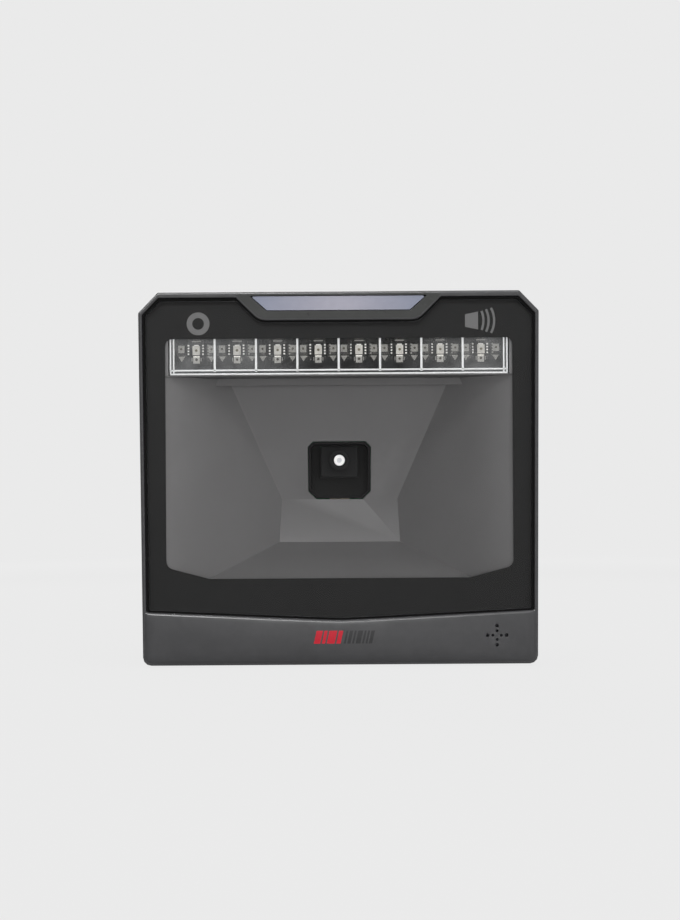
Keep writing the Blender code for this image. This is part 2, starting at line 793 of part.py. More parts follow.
def status_light():
    outline = rounded(status_corners(), STATUS_RADIUS)
    lens = add_part(
        "status_light_lens",
        plate("lens", [outline], STATUS_FRONT, STATUS_BACK - OVERLAP),
        "diffuser",
    )
    flange = rounded(status_corners(1.3 * MM), 0.8 * MM)
    join(lens, "flange", plate("flange", [flange], LEDGE_BACK + GAP, STATUS_BACK))
    corners = rectangle(STATUS_BOARD_HALF, STATUS_BOARD_LOW, STATUS_BOARD_HIGH)
    board = plate("board", [rounded(corners, 0.8 * MM)], STATUS_BOARD_FRONT, STATUS_BOARD_BACK)
    add_part("status_light_board", board, "board_green")
    middle = (STATUS_TOP + STATUS_LOW) / 2
    led = led_mesh(STATUS_LED_THICKNESS)
    for i, x in enumerate(STATUS_LED_X, 1):
        place_led(f"status_led_{i}", led, x, middle, STATUS_BOARD_FRONT - GAP)


def led_mesh(thickness):
    """A surface-mount package with a dished window, about its own back face's middle."""
    width, height = LED_SIZE
    bm = bmesh.new()
    scale = Matrix.Diagonal((width, thickness, height, 1.0))
    shift = Matrix.Translation((0.0, -thickness / 2, 0.0))
    bmesh.ops.create_cube(bm, size=1.0, matrix=shift @ scale)
    front = min(bm.faces, key=lambda face: face.calc_center_median().y)
    bmesh.ops.inset_individual(bm, faces=[front], thickness=0.35 * MM)
    bmesh.ops.inset_individual(bm, faces=[front], thickness=0.2 * MM, depth=-0.25 * MM)
    return mesh_from(bm, "led")


def place_led(name, mesh, x, height, back):
    add_part(name, mesh, "led_package", place(x, back, height))


# ---------------------------------------------------------------- lamp bar


def cell_places():
    for i in range(CELL_COUNT):
        yield i + 1, (i - (CELL_COUNT - 1) / 2) * CELL_PITCH


def cell_section(x, depth):
    """The section of one tapered cell, which narrows from the front to the lamp behind it."""
    share = (depth - LAMP_FRONT) / (LAMP_BACK - LAMP_FRONT)
    half = blend(CELL_FRONT[0], CELL_BACK[0], share) / 2
    low = blend(CELL_FRONT_LOW, LAMP_LED_HEIGHT - CELL_BACK[1] / 2, share)
    high = blend(CELL_FRONT_LOW + CELL_FRONT[1], LAMP_LED_HEIGHT + CELL_BACK[1] / 2, share)
    return depth, rectangle(half, low, high, x)


def lamp_lens():
    """A clear bar with one tapered cell, open at both ends, in front of each lamp."""
    outline = rounded(rectangle(LAMP_HALF, LAMP_LOW, LAMP_HIGH), 0.6 * MM, 2)
    bar = plate("bar", [outline], LAMP_FRONT, LAMP_BACK)
    lens = add_part("lamp_lens", bar, "lamp_clear")
    for i, x in cell_places():
        ends = (LAMP_FRONT - OVERLAP, LAMP_BACK + OVERLAP)
        cell = loft("cell", [cell_section(x, depth) for depth in ends])
        cut(lens, f"cell_{i}", cell)


def lamp_board():
    outline = rounded(rectangle(LAMP_BOARD_HALF, LAMP_BOARD_LOW, LAMP_HIGH), 1.0 * MM)
    mesh = plate("board", [outline], LAMP_BOARD_FRONT, LAMP_BOARD_BACK)
    board = add_part("lamp_board", mesh, "board_black")
    profile = screw_profile(2.0 * MM, 1.3 * MM, 0.7 * MM, 5.6 * MM)
    screw = facing_back(turned("lamp_board_screw", profile, 12))
    for i, side in enumerate((-1, 1), 1):
        x = side * LAMP_SCREW_X
        hole = rod("hole", x, LAMP_LED_HEIGHT, 1.1 * MM, 14.0 * MM, 18.0 * MM, 16)
        cut(board, f"screw_hole_{i}", hole)
        seat = place(x, LAMP_BOARD_BACK + GAP, LAMP_LED_HEIGHT)
        add_part(f"lamp_board_screw_{i}", screw, "screw_steel", seat)
    led = led_mesh(LED_BACK - LED_FRONT)
    for i, x in cell_places():
        place_led(f"lamp_led_{i}", led, x, LAMP_LED_HEIGHT, LED_BACK)


# ---------------------------------------------------------------- optical baffle


def side_depth(x):
    return FOLD_DEPTH + (FOLD_HALF - x) * SIDE_SLOPE


def floor_height(depth):
    return DEEP_LOW_HEIGHT - (side_depth(DEEP_LOW_HALF) - depth) * FLOOR_SLOPE


def baffle_surface():
    """The funnel's right half as an open sheet: strip, side, lip, ceiling, back and floor."""
    lip_share = (BAFFLE_TOP - LIP_LOW_HEIGHT) / (LIP_HIGH_HEIGHT - LIP_LOW_HEIGHT)
    shelf_half = blend(LIP_LOW_HALF, LIP_HIGH_HALF, lip_share)
    corners = {
        "mouth_low": (MOUTH_HALF, MOUTH_DEPTH, floor_height(MOUTH_DEPTH)),
        "mouth_high": (MOUTH_HALF, MOUTH_DEPTH, BAFFLE_TOP),
        "fold_low": (FOLD_HALF, FOLD_DEPTH, floor_height(FOLD_DEPTH)),
        "fold_high": (FOLD_HALF, FOLD_DEPTH, BAFFLE_TOP),
        "shelf": (shelf_half, side_depth(shelf_half), BAFFLE_TOP),
        "lip_low": (LIP_LOW_HALF, side_depth(LIP_LOW_HALF), LIP_LOW_HEIGHT),
        "lip_high": (LIP_HIGH_HALF, side_depth(LIP_HIGH_HALF), LIP_HIGH_HEIGHT),
        "back": (BACK_HALF, side_depth(BACK_HALF), BACK_HEIGHT),
        "deep": (DEEP_HALF, side_depth(DEEP_HALF), DEEP_HEIGHT),
        "deep_low": (DEEP_LOW_HALF, side_depth(DEEP_LOW_HALF), DEEP_LOW_HEIGHT),
    }
    bm = bmesh.new()
    verts = {name: bm.verts.new(place(*corner)) for name, corner in corners.items()}
    on_middle = ("mouth_low", "fold_low", "lip_low", "lip_high", "back", "deep", "deep_low")
    for name in on_middle:
        _, depth, height = corners[name]
        verts[f"mid_{name}"] = bm.verts.new(place(0.0, depth, height))
    side = ("fold_low", "fold_high", "shelf", "lip_low", "back", "deep", "deep_low")
    facets = [
        ("mouth_low", "mouth_high", "fold_high", "fold_low"),
        side,
        ("lip_low", "shelf", "lip_high", "mid_lip_high", "mid_lip_low"),
        ("back", "lip_low", "mid_lip_low", "mid_back"),
        ("deep", "back", "mid_back", "mid_deep"),
        ("deep_low", "deep", "mid_deep", "mid_deep_low"),
        ("fold_low", "deep_low", "mid_deep_low", "mid_fold_low"),
        ("mouth_low", "fold_low", "mid_fold_low", "mid_mouth_low"),
    ]
    for facet in facets:
        bm.faces.new([verts[name] for name in facet])
    mesh = bpy.data.meshes.new("baffle")
    bm.to_mesh(mesh)
    bm.free()
    return mesh


def optical_baffle():
    baffle = add_part("optical_baffle", baffle_surface(), "baffle_plastic")
    mirror = baffle.modifiers.new("halves", "MIRROR")
    mirror.merge_threshold = 0.01 * MM
    wall = baffle.modifiers.new("wall", "SOLIDIFY")
    wall.thickness = BAFFLE_WALL
    wall.offset = -1.0
    wall.use_even_offset = True
    cut(baffle, "camera", plate("camera", [hood_outline(-GAP)], 30.0 * MM, 60.0 * MM))
    profile = screw_profile(1.9 * MM, 1.3 * MM, 0.85 * MM, 3.4 * MM)
    screw = facing_back(turned("baffle_screw", profile, 12))
    count = 0
    for side in (-1, 1):
        for height in EAR_HEIGHTS:
            count += 1
            near, far = sorted(side * reach for reach in EAR_REACH)
            ear_front = LEDGE_BACK + GAP
            ear_back = ear_front + BAFFLE_WALL
            low, high = height - EAR_HALF_HEIGHT, height + EAR_HALF_HEIGHT
            ear = box("ear", (near, ear_front, low), (far, ear_back, high))
            join(baffle, f"ear_{count}", ear)
            hole = rod("hole", side * EAR_SCREW_X, height, 1.2 * MM, 5.0 * MM, 9.0 * MM, 12)
            cut(baffle, f"ear_hole_{count}", hole)
            seat = place(side * EAR_SCREW_X, ear_back + GAP, height)
            add_part(f"baffle_screw_{count}", screw, "screw_steel", seat)


# ---------------------------------------------------------------- camera


def hood_outline(distance):
    cut_high, cut_low = 1.95 * MM, 3.0 * MM
    corners = mirrored(
        [
            (HOOD_HALF - cut_low, HOOD_LOW),
            (HOOD_HALF, HOOD_LOW + cut_low),
            (HOOD_HALF, HOOD_HIGH - cut_high),
            (HOOD_HALF - cut_high, HOOD_HIGH),
        ]
    )
    return inset(corners, distance)


def hood_rim_height(depth):
    """Height at which the hood's rim reaches a depth; the rim lies just proud of the back facet."""
    back, deep = side_depth(BACK_HALF), side_depth(DEEP_HALF)
    rise = (BACK_HEIGHT - DEEP_HEIGHT) / (deep - back)
    return BACK_HEIGHT - (depth + HOOD_PROUD - back) * rise


def camera_hood():
    """An eight-sided tube, cut off at the front along the slope of the funnel's back facet."""
    hood = plate("hood", [hood_outline(0.0)], HOOD_FRONT, HOOD_BACK)
    hood_part = add_part("camera_hood", hood, "hood_plastic")
    through = plate("inside", [hood_outline(HOOD_WALL)], HOOD_FRONT - MM, HOOD_BACK + MM)
    cut(hood_part, "inside", through)
    ahead = []
    for depth in (HOOD_FRONT - MM, side_depth(DEEP_HALF)):
        side, low = HOOD_HALF + MM, DEEP_LOW_HEIGHT - MM
        ahead.append((depth, rectangle(side, low, hood_rim_height(depth))))
    cut(hood_part, "rim", loft("ahead", ahead))


def camera():
    camera_hood()
    corners = rectangle(CAMERA_BOARD_HALF, CAMERA_BOARD_LOW, CAMERA_BOARD_HIGH)
    board = plate("board", [rounded(corners, 2.4 * MM)], CAMERA_BOARD_FRONT, CAMERA_BOARD_BACK)
    add_part("camera_board", board, "board_black")
    holder = box(
        "holder",
        (-HOLDER_HALF, HOLDER_FRONT, HOLDER_LOW),
        (HOLDER_HALF, HOLDER_BACK, HOLDER_HIGH),
    )
    holder_part = add_part("camera_holder", holder, "hood_plastic")
    bevel = holder_part.modifiers.new("edges", "BEVEL")
    bevel.width = 0.5 * MM
    bevel.segments = 2
    seat = rod("seat", 0.0, CAMERA_HEIGHT, BARREL_BORE, HOLDER_FRONT - MM, 50.0 * MM)
    cut(holder_part, "barrel_seat", seat)
    camera_lens()
    ribbon()


def camera_lens():
    """A flanged barrel with a dished mouth, and the domed front element that sits in it."""
    bore = LENS_RADIUS + GAP
    flange_back = HOLDER_FRONT - GAP - BARREL_FRONT
    profile = [
        (bore, -0.8 * MM),
        (bore + 0.3 * MM, 0.0),
        (BARREL_RADIUS - 0.3 * MM, 0.0),
        (BARREL_RADIUS, -0.3 * MM),
        (BARREL_RADIUS, -flange_back),
        (BARREL_BORE - GAP, -flange_back),
        (BARREL_BORE - GAP, -8.0 * MM),
        (1.2 * MM, -8.0 * MM),
        (1.2 * MM, -3.0 * MM),
        (bore, -3.0 * MM),
    ]
    barrel = facing_front(turned("barrel", profile, 24))
    origin = place(0.0, BARREL_FRONT, CAMERA_HEIGHT)
    add_part("lens_barrel", barrel, "hood_plastic", origin)
    edge = math.radians(40.0)
    dome = [(0.0, LENS_RADIUS * (1.0 - math.sin(edge)) - LENS_SUNK)]
    for step in range(1, 6):
        angle = blend(math.pi / 2, edge, step / 5)
        radius = LENS_RADIUS * math.cos(angle) / math.cos(edge)
        dome.append((radius, LENS_RADIUS * (math.sin(angle) - math.sin(edge)) - LENS_SUNK))
    dome += [(LENS_RADIUS, -2 * LENS_SUNK), (0.0, -2 * LENS_SUNK)]
    element = facing_front(turned("element", dome, 24))
    add_part("lens_element", element, "lens_glass", origin)


def ribbon():
    """The flat ribbon from the camera board to the main board, folded once."""
    start, end = CAMERA_BOARD_BACK + GAP, BOARD_FRONT - 4 * GAP
    middle = [(start, RIBBON_TOP), (start, RIBBON_FOLD), (end, RIBBON_FOLD), (end, RIBBON_END)]
    bm = bmesh.new()
    rows = []
    for depth, height in middle:
        rows.append([bm.verts.new(place(x, depth, height)) for x in (-RIBBON_HALF, RIBBON_HALF)])
    for near, far in zip(rows, rows[1:]):
        bm.faces.new((near[0], near[1], far[1], far[0]))
    mesh = bpy.data.meshes.new("ribbon")
    bm.to_mesh(mesh)
    bm.free()
    strip = add_part("camera_ribbon", mesh, "ribbon_film")
    film = strip.modifiers.new("film", "SOLIDIFY")
    film.thickness = RIBBON_THICKNESS
    film.offset = 1.0


# ---------------------------------------------------------------- main board


def main_board():
    corners = rectangle(BOARD_HALF, BOARD_LOW, BOARD_HIGH)
    mesh = plate("board", [rounded(corners, 2.0 * MM)], BOARD_FRONT, BOARD_BACK)
    board = add_part("main_board", mesh, "board_green")
    profile = screw_profile(2.4 * MM, 1.5 * MM, 0.95 * MM, 7.0 * MM)
    screw = facing_front(turned("main_board_screw", profile, 12))
    for i, (x, height) in enumerate(BOARD_SCREWS, 1):
        hole = rod("hole", x * MM, height * MM, 1.3 * MM, 58.0 * MM, 64.0 * MM, 16)
        cut(board, f"screw_hole_{i}", hole)
        seat = place(x * MM, BOARD_FRONT - GAP, height * MM)
        add_part(f"main_board_screw_{i}", screw, "screw_steel", seat)
    can = box("can", CAN_LOW_CORNER, CAN_HIGH_CORNER)
    can_part = add_part("shield_can", can, "shield_steel")
    bevel = can_part.modifiers.new("edges", "BEVEL")
    bevel.width = 0.5 * MM
    bevel.segments = 2


def interface_socket():
    """A modular jack: a box with a mouth for the plug and a slot for the plug's latch."""
    body = box(
        "body",
        (-SOCKET_HALF, SOCKET_FRONT, SOCKET_LOW),
        (SOCKET_HALF, SOCKET_BACK, SOCKET_HIGH),
    )
    socket = add_part("interface_socket", body, "socket_plastic")
    mouth_front = SOCKET_FRONT + 1.5 * MM
    mouth = box(
        "mouth",
        (-SOCKET_MOUTH_HALF, mouth_front, SOCKET_MOUTH_LOW),
        (SOCKET_MOUTH_HALF, SOCKET_BACK + MM, SOCKET_MOUTH_HIGH),
    )
    cut(socket, "mouth", mouth)
    slot = box(
        "slot",
        (-SOCKET_SLOT_HALF, SOCKET_FRONT + 4.0 * MM, SOCKET_SLOT_LOW),
        (SOCKET_SLOT_HALF, SOCKET_BACK + MM, SOCKET_MOUTH_LOW + 2 * OVERLAP),
    )
    cut(socket, "latch_slot", slot)


# ---------------------------------------------------------------- speaker


def speaker():
    """The sounder behind the chin's holes; its cone slides on its own axis."""
    origin = place(SPEAKER_X, 0.0, SPEAKER_HEIGHT)
    front, back = SPEAKER_GASKET
    ring = [
        (SPEAKER_RADIUS, -front),
        (SPEAKER_RADIUS, -back),
        (5.1 * MM, -back),
        (5.1 * MM, -front),
    ]
    gasket = facing_front(turned("speaker_gasket", ring, 20))
    add_part("speaker_gasket", gasket, "foam", origin)
    front, back = SPEAKER_FRAME
    cup = [
        (0.0, -back + MM),
        (5.2 * MM, -back + MM),
        (5.2 * MM, -front),
        (SPEAKER_RADIUS, -front),
        (SPEAKER_RADIUS, -back + 0.5 * MM),
        (SPEAKER_RADIUS - 0.5 * MM, -back),
        (0.0, -back),
    ]
    basket = facing_front(turned("speaker_frame", cup, 20))
    add_part("speaker_frame", basket, "speaker_plastic", origin)
    coil, thin = 2.2 * MM, 0.4 * MM
    cone = [
        (0.0, 0.2 * MM),
        (coil * 0.6, 0.05 * MM),
        (coil, -0.7 * MM),
        (CONE_RADIUS - 0.6 * MM, 0.0),
        (CONE_RADIUS, -0.2 * MM),
        (CONE_RADIUS, -0.2 * MM - thin),
        (CONE_RADIUS - 0.6 * MM, -thin),
        (coil, -0.7 * MM - thin),
        (coil, -2.2 * MM),
        (coil - 0.4 * MM, -2.2 * MM),
        (coil - 0.4 * MM, -0.9 * MM),
        (0.0, -0.4 * MM),
    ]
    moving = facing_front(turned("speaker_cone", cone, 20))
    add_part("speaker_cone", moving, "cone_paper", place(SPEAKER_X, CONE_FRONT, SPEAKER_HEIGHT))


# ---------------------------------------------------------------- rear housing


def housing_corners(share, distance):
    """The housing's section: 0 is the full front section, 1 the small one at the back."""
    low = blend(HALF_WIDTH_BOTTOM, REAR_HALF_LOW, share) - distance
    high = blend(HALF_WIDTH_TOP, REAR_HALF_HIGH, share) - distance
    top = blend(BODY_HEIGHT, REAR_HEIGHT, share) - distance
    side_cut = blend(TOP_CUT_X, REAR_CUT_X, share)
    top_cut = blend(TOP_CUT_HEIGHT, REAR_CUT_HEIGHT, share)
    radius = max(BOTTOM_RADIUS - distance, 0.9 * MM)
    corners = mirrored([(low, distance), (high, top - top_cut), (high - side_cut, top)])
    return rounded(corners, [radius, TOP_RADIUS, TOP_RADIUS, TOP_RADIUS, TOP_RADIUS, radius])


def housing_outer(deeper=0.0):
    """The housing's outside, or a smaller copy that lies inside its walls."""
    rings = [
        (HOUSING_FRONT, 0.0, 0.35 * MM),
        (HOUSING_FRONT + 0.35 * MM, 0.0, 0.0),
        (HOUSING_FOLD, 0.0, 0.0),
        (HOUSING_BACK - 1.2 * MM, 0.977, 0.0),
        (HOUSING_BACK - 0.35 * MM, 0.985, 0.35 * MM),
        (HOUSING_BACK, 1.0, 0.7 * MM),
    ]
    sections = [(d, housing_corners(share, inner + deeper)) for d, share, inner in rings]
    return loft("outer", sections)


def housing_inner():
    inner_back = HOUSING_BACK - HOUSING_WALL
    sloped = HOUSING_WALL * 1.25
    rings = [
        (HOUSING_FRONT - MM, 0.0, HOUSING_WALL),
        (HOUSING_FOLD - 0.6 * MM, 0.0, HOUSING_WALL),
        (inner_back, 0.957, sloped),
    ]
    return loft("inner", [(d, housing_corners(share, inner)) for d, share, inner in rings])


def rear_housing():
    housing = add_part("rear_housing", housing_outer(), "housing_plastic")
    cut(housing, "inside", housing_inner())
    edges = [frame_outline(TONGUE_INSET), frame_outline(TONGUE_INSET + TONGUE_WALL)]
    join(housing, "tongue", plate("tongue", edges, TONGUE_FRONT, HOUSING_FRONT + 2.0 * MM))
    for i, (x, height) in enumerate(CASE_SCREWS, 1):
        start = CASE_BOSS_BACK + GAP
        sleeve = rod("sleeve", x * MM, height * MM, SLEEVE_RADIUS, start, 44.0 * MM, 24)
        tool = join(housing, f"sleeve_{i}", sleeve)
        trim = tool.modifiers.new("trim", "BOOLEAN")
        trim.operation = "INTERSECT"
        trim.solver = "EXACT"
        trim.object = add_cutter(f"rear_housing.trim_{i}", housing_outer(MM))
        pocket = rod("pocket", x * MM, height * MM, POCKET_RADIUS, CASE_SCREW_SEAT, 60.0 * MM, 24)
        cut(housing, f"pocket_{i}", pocket)
        hole = rod("hole", x * MM, height * MM, 1.6 * MM, 14.0 * MM, 20.0 * MM, 16)
        cut(housing, f"screw_hole_{i}", hole)
    for i, (x, height) in enumerate(BOARD_SCREWS, 1):
        back = HOUSING_BACK - HOUSING_WALL + OVERLAP
        front = BOARD_BACK + GAP
        join(housing, f"post_{i}", rod("post", x * MM, height * MM, 3.0 * MM, front, back))
        pilot = rod("pilot", x * MM, height * MM, 1.25 * MM, front - MM, 69.0 * MM, 16)
        cut(housing, f"pilot_{i}", pilot)
    wall_front = HOUSING_BACK - HOUSING_WALL - MM
    half = SOCKET_HALF + 0.5 * MM
    bay = box(
        "bay",
        (-half, wall_front, SOCKET_LOW - 0.5 * MM),
        (half, HOUSING_BACK + MM, SOCKET_HIGH + 0.5 * MM),
    )
    cut(housing, "socket_bay", bay)
    frame = LABEL_HALF + 0.4 * MM
    recess = rectangle(frame, LABEL_LOW - 0.4 * MM, LABEL_HIGH + 0.4 * MM)
    recess_front = HOUSING_BACK - 0.6 * MM
    shape = plate("recess", [rounded(recess, 1.4 * MM)], recess_front, HOUSING_BACK + MM)
    cut(housing, "label_recess", shape)
    top, radius = FOOT_THICKNESS + GAP, FOOT_RADIUS + GAP
    for i, (x, depth) in enumerate(FEET, 1):
        profile = [(0.0, top), (radius, top), (radius, 0.0), (0.0, 0.0)]
        spot = (x * MM, FACE_Y + depth * MM, 0.0)
        cut(housing, f"foot_pocket_{i}", turned("foot_pocket", profile), spot)


def rear_hardware():
    label = rounded(rectangle(LABEL_HALF, LABEL_LOW, LABEL_HIGH), 1.0 * MM)
    front = HOUSING_BACK - 0.3 * MM
    add_part("rating_label", plate("label", [label], front, front + 0.2 * MM), "label_film")
    profile = screw_profile(2.7 * MM, 1.9 * MM, 1.25 * MM, 9.0 * MM)
    screw = facing_back(turned("housing_screw", profile, 16))
    for i, (x, height) in enumerate(CASE_SCREWS, 1):
        seat = place(x * MM, CASE_SCREW_SEAT + GAP, height * MM)
        part = add_part(f"housing_screw_{i}", screw, "screw_steel", seat)
        depth = CASE_SCREW_SEAT + GAP + 0.9 * MM
        key = rod("key", x * MM, height * MM, 1.2 * MM, depth, depth + 2.0 * MM, 6)
        cut(part, "key", key)
    pad = [
        (0.0, FOOT_THICKNESS),
        (FOOT_RADIUS, FOOT_THICKNESS),
        (FOOT_RADIUS, 0.3 * MM),
        (FOOT_RADIUS - 0.3 * MM, 0.0),
        (0.0, 0.0),
    ]
    foot = turned("rubber_foot", pad, 24)
    for i, (x, depth) in enumerate(FEET, 1):
        spot = (x * MM, FACE_Y + depth * MM, 0.0)
        add_part(f"rubber_foot_{i}", foot, "foot_rubber", spot)


# ---------------------------------------------------------------- wires


def harnesses():
    lamp = [(-60.0, 17.4, 119.0), (-59.0, 24.0, 119.5), (-52.0, 38.0, 112.0)]
    lamp += [(-42.0, 52.0, 96.0), (-34.0, 57.0, 84.0), (-31.0, 59.2, 80.0)]
    sound = [(58.5, 8.6, 10.9), (58.0, 13.0, 10.0), (54.0, 28.0, 7.5)]
    sound += [(44.0, 48.0, 9.0), (34.0, 57.0, 16.0), (31.0, 59.2, 20.0)]
    for name, points in (("lamp_harness", lamp), ("speaker_harness", sound)):
        route = [(x * MM, depth * MM, height * MM) for x, depth, height in points]
        tube(name, route, 0.9 * MM, "wire_jacket")


def build():
    front_frame()
    window()
    touch_pads()
    status_light()
    lamp_lens()
    lamp_board()
    optical_baffle()
    camera()
    main_board()
    interface_socket()
    speaker()
    rear_housing()
    rear_hardware()
    harnesses()


build()
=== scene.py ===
"""Looks of the countertop barcode scanner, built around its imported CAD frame.

Units are metres in the frame: +X right, +Z up, and the window faces -Y. Small parts are placed by
x, by depth behind the rim's front face and by height above the body's underside.
"""

import json
import math

import bmesh
import bpy
from mathutils import Matrix, Vector
from mathutils.bvhtree import BVHTree


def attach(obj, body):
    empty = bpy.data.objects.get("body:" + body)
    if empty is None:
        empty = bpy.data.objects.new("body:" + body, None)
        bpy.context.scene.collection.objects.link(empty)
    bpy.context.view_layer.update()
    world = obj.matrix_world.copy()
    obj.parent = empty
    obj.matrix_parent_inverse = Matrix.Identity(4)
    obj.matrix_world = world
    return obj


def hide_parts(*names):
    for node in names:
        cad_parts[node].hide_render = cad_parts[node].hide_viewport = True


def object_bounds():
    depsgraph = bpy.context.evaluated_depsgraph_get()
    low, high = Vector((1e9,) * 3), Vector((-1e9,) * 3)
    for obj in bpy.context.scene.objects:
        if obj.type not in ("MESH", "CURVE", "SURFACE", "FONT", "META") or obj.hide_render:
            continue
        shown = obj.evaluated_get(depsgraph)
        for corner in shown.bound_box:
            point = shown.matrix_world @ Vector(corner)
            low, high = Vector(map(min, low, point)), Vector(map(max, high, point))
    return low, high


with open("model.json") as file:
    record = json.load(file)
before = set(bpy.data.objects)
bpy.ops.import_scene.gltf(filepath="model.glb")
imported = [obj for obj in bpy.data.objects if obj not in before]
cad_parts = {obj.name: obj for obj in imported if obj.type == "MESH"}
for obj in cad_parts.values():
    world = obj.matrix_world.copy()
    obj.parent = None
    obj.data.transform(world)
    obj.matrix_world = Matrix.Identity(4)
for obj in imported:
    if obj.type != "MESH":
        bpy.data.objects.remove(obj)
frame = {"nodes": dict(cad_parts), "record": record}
start_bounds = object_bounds()

MM = 0.001
WELD_DISTANCE = 0.002 * MM
FACE_Y = -36.7 * MM
FOOT_PROUD = 0.8 * MM
LABEL_FACE = 75.6 * MM

CELL_COUNT = 8
CELL_PITCH = 15.583 * MM
LAMP_LED_HEIGHT = 119.15 * MM
LAMP_LED_FRONT = 13.6 * MM
LAMP_BAR_FRONT = 4.0 * MM
LAMP_BAR_HALF = 63.6 * MM
LAMP_BAR_LOW = 109.3 * MM
LAMP_BAR_HIGH = 126.6 * MM
LAMP_BOARD_FRONT = 15.2 * MM

# Painted shadow: where the black strip sits that fills the gap round the window glass in place of
# its shade.
SHADOW_STRIP_WIDTH = 0.72 * MM
SHADOW_STRIP_CLEARANCE = 0.03 * MM
SHADOW_STRIP_FRONT = 0.8 * MM
SHADOW_STRIP_BACK = 1.8 * MM
PRINT_RISE = 0.025 * MM
PRINT_SUNK = 0.01 * MM

BROAD_NOISE = 55.0
MIDDLE_NOISE = 420.0
WORN_POINTINESS = (0.515, 0.6)
BACKGROUND = 0.823
PAPER_GLOW = 0.795


def place(x, depth, height):
    """The frame point at an x, a depth behind the rim's face and a height above the underside."""
    return Vector((x, FACE_Y + depth, FOOT_PROUD + height))


# ---------------------------------------------------------------- materials


class Nodes:
    """A short way to add shader nodes to one material."""

    def __init__(self, name):
        self.material = bpy.data.materials.new(name)
        self.material.use_nodes = True
        self.tree = self.material.node_tree
        self.shader = self.tree.nodes["Principled BSDF"]
        self.output = self.tree.nodes["Material Output"]
        self.coordinates = self.add("ShaderNodeTexCoord").outputs["Object"]

    def add(self, kind, **settings):
        node = self.tree.nodes.new(kind)
        for key, value in settings.items():
            setattr(node, key, value)
        return node

    def link(self, source, target):
        self.tree.links.new(source, target)

    def base_colour(self):
        """The socket that feeds the shader's base colour at present."""
        return self.shader.inputs["Base Color"].links[0].from_socket

    def across(self):
        """The x coordinate of the piece, in metres."""
        axes = self.add("ShaderNodeSeparateXYZ")
        self.link(self.coordinates, axes.inputs[0])
        return axes.outputs["X"]

    def noise(self, scale, detail=3.0, stretch=(1.0, 1.0, 1.0), roughness=0.55):
        """Noise with features of about 1 / scale metres, longer where the stretch is small."""
        mapping = self.add("ShaderNodeMapping")
        mapping.inputs["Scale"].default_value = stretch
        self.link(self.coordinates, mapping.inputs["Vector"])
        noise = self.add("ShaderNodeTexNoise")
        noise.inputs["Scale"].default_value = scale
        noise.inputs["Detail"].default_value = detail
        noise.inputs["Roughness"].default_value = roughness
        self.link(mapping.outputs["Vector"], noise.inputs["Vector"])
        return noise.outputs["Fac"]

    def spread(self, value, low, high, start=0.3, end=0.7):
        """Maps the values from start to end to the range from low to high."""
        node = self.add("ShaderNodeMapRange")
        node.inputs["From Min"].default_value = start
        node.inputs["From Max"].default_value = end
        node.inputs["To Min"].default_value = low
        node.inputs["To Max"].default_value = high
        self.link(value, node.inputs["Value"])
        return node.outputs["Result"]

    def math(self, operation, first, second=0.0):
        node = self.add("ShaderNodeMath", operation=operation)
        for socket, value in zip(node.inputs, (first, second)):
            if isinstance(value, float):
                socket.default_value = value
            else:
                self.link(value, socket)
        return node.outputs["Value"]

    def mix(self, share, first, second):
        """Blends two colours; each is an rgb tuple or a socket."""
        node = self.add("ShaderNodeMix", data_type="RGBA")
        factor, colour_a, colour_b = (node.inputs[i] for i in (0, 6, 7))
        for socket, value in ((factor, share), (colour_a, first), (colour_b, second)):
            if isinstance(value, (float, int)):
                socket.default_value = value
            elif isinstance(value, tuple):
                socket.default_value = (*value, 1.0)
            else:
                self.link(value, socket)
        return node.outputs[2]

    def relief(self, height, strength, distance):
        """Raises the surface by a height socket, through bump."""
        bump = self.add("ShaderNodeBump")
        bump.inputs["Strength"].default_value = strength
        bump.inputs["Distance"].default_value = distance
        self.link(height, bump.inputs["Height"])
        self.link(bump.outputs["Normal"], self.shader.inputs["Normal"])


def scaled(colour, factor):
    """A colour made brighter or darker."""
    return tuple(min(channel * factor, 1.0) for channel in colour)


def surface(name, colour, roughness, metallic=0.0, grain=2600.0, strength=0.25,
            distance=0.00004, tone=0.1, wear=1.35, stretch=(1.0, 1.0, 1.0), specular=0.5):
    """A finish with fine relief, uneven tone and polish, and slightly paler worn edges."""
    n = Nodes(name)
    fine = n.noise(grain, 4.0, stretch)
    broad = n.noise(BROAD_NOISE, 3.0)
    middle = n.noise(MIDDLE_NOISE, 3.0, stretch)
    uneven = n.math("ADD", n.math("MULTIPLY", broad, 0.55), n.math("MULTIPLY", middle, 0.45))
    darker, lighter = scaled(colour, 1.0 - tone), scaled(colour, 1.0 + tone)
    body = n.mix(n.spread(uneven, 0.0, 1.0), darker, lighter)
    pointiness = n.add("ShaderNodeNewGeometry").outputs["Pointiness"]
    edge = n.spread(pointiness, 0.0, 1.0, *WORN_POINTINESS)
    worn = n.math("MULTIPLY", edge, n.spread(middle, 0.35, 1.0))
    n.link(n.mix(worn, body, scaled(colour, wear)), n.shader.inputs["Base Color"])
    polish = n.spread(uneven, roughness - 0.06, min(roughness + 0.07, 1.0))
    n.link(polish, n.shader.inputs["Roughness"])
    n.shader.inputs["Metallic"].default_value = metallic
    n.shader.inputs["Specular IOR Level"].default_value = specular
    n.relief(n.math("ADD", fine, n.math("MULTIPLY", middle, 0.5)), strength, distance)
    return n


def brushed(name, colour, roughness, axis):
    """Metal drawn or brushed along one axis."""
    stretch = tuple(0.06 if i == axis else 1.0 for i in range(3))
    return surface(
        name, colour, roughness, metallic=1.0, grain=1800.0, strength=0.2,
        distance=0.00002, tone=0.12, wear=1.1, stretch=stretch
    )


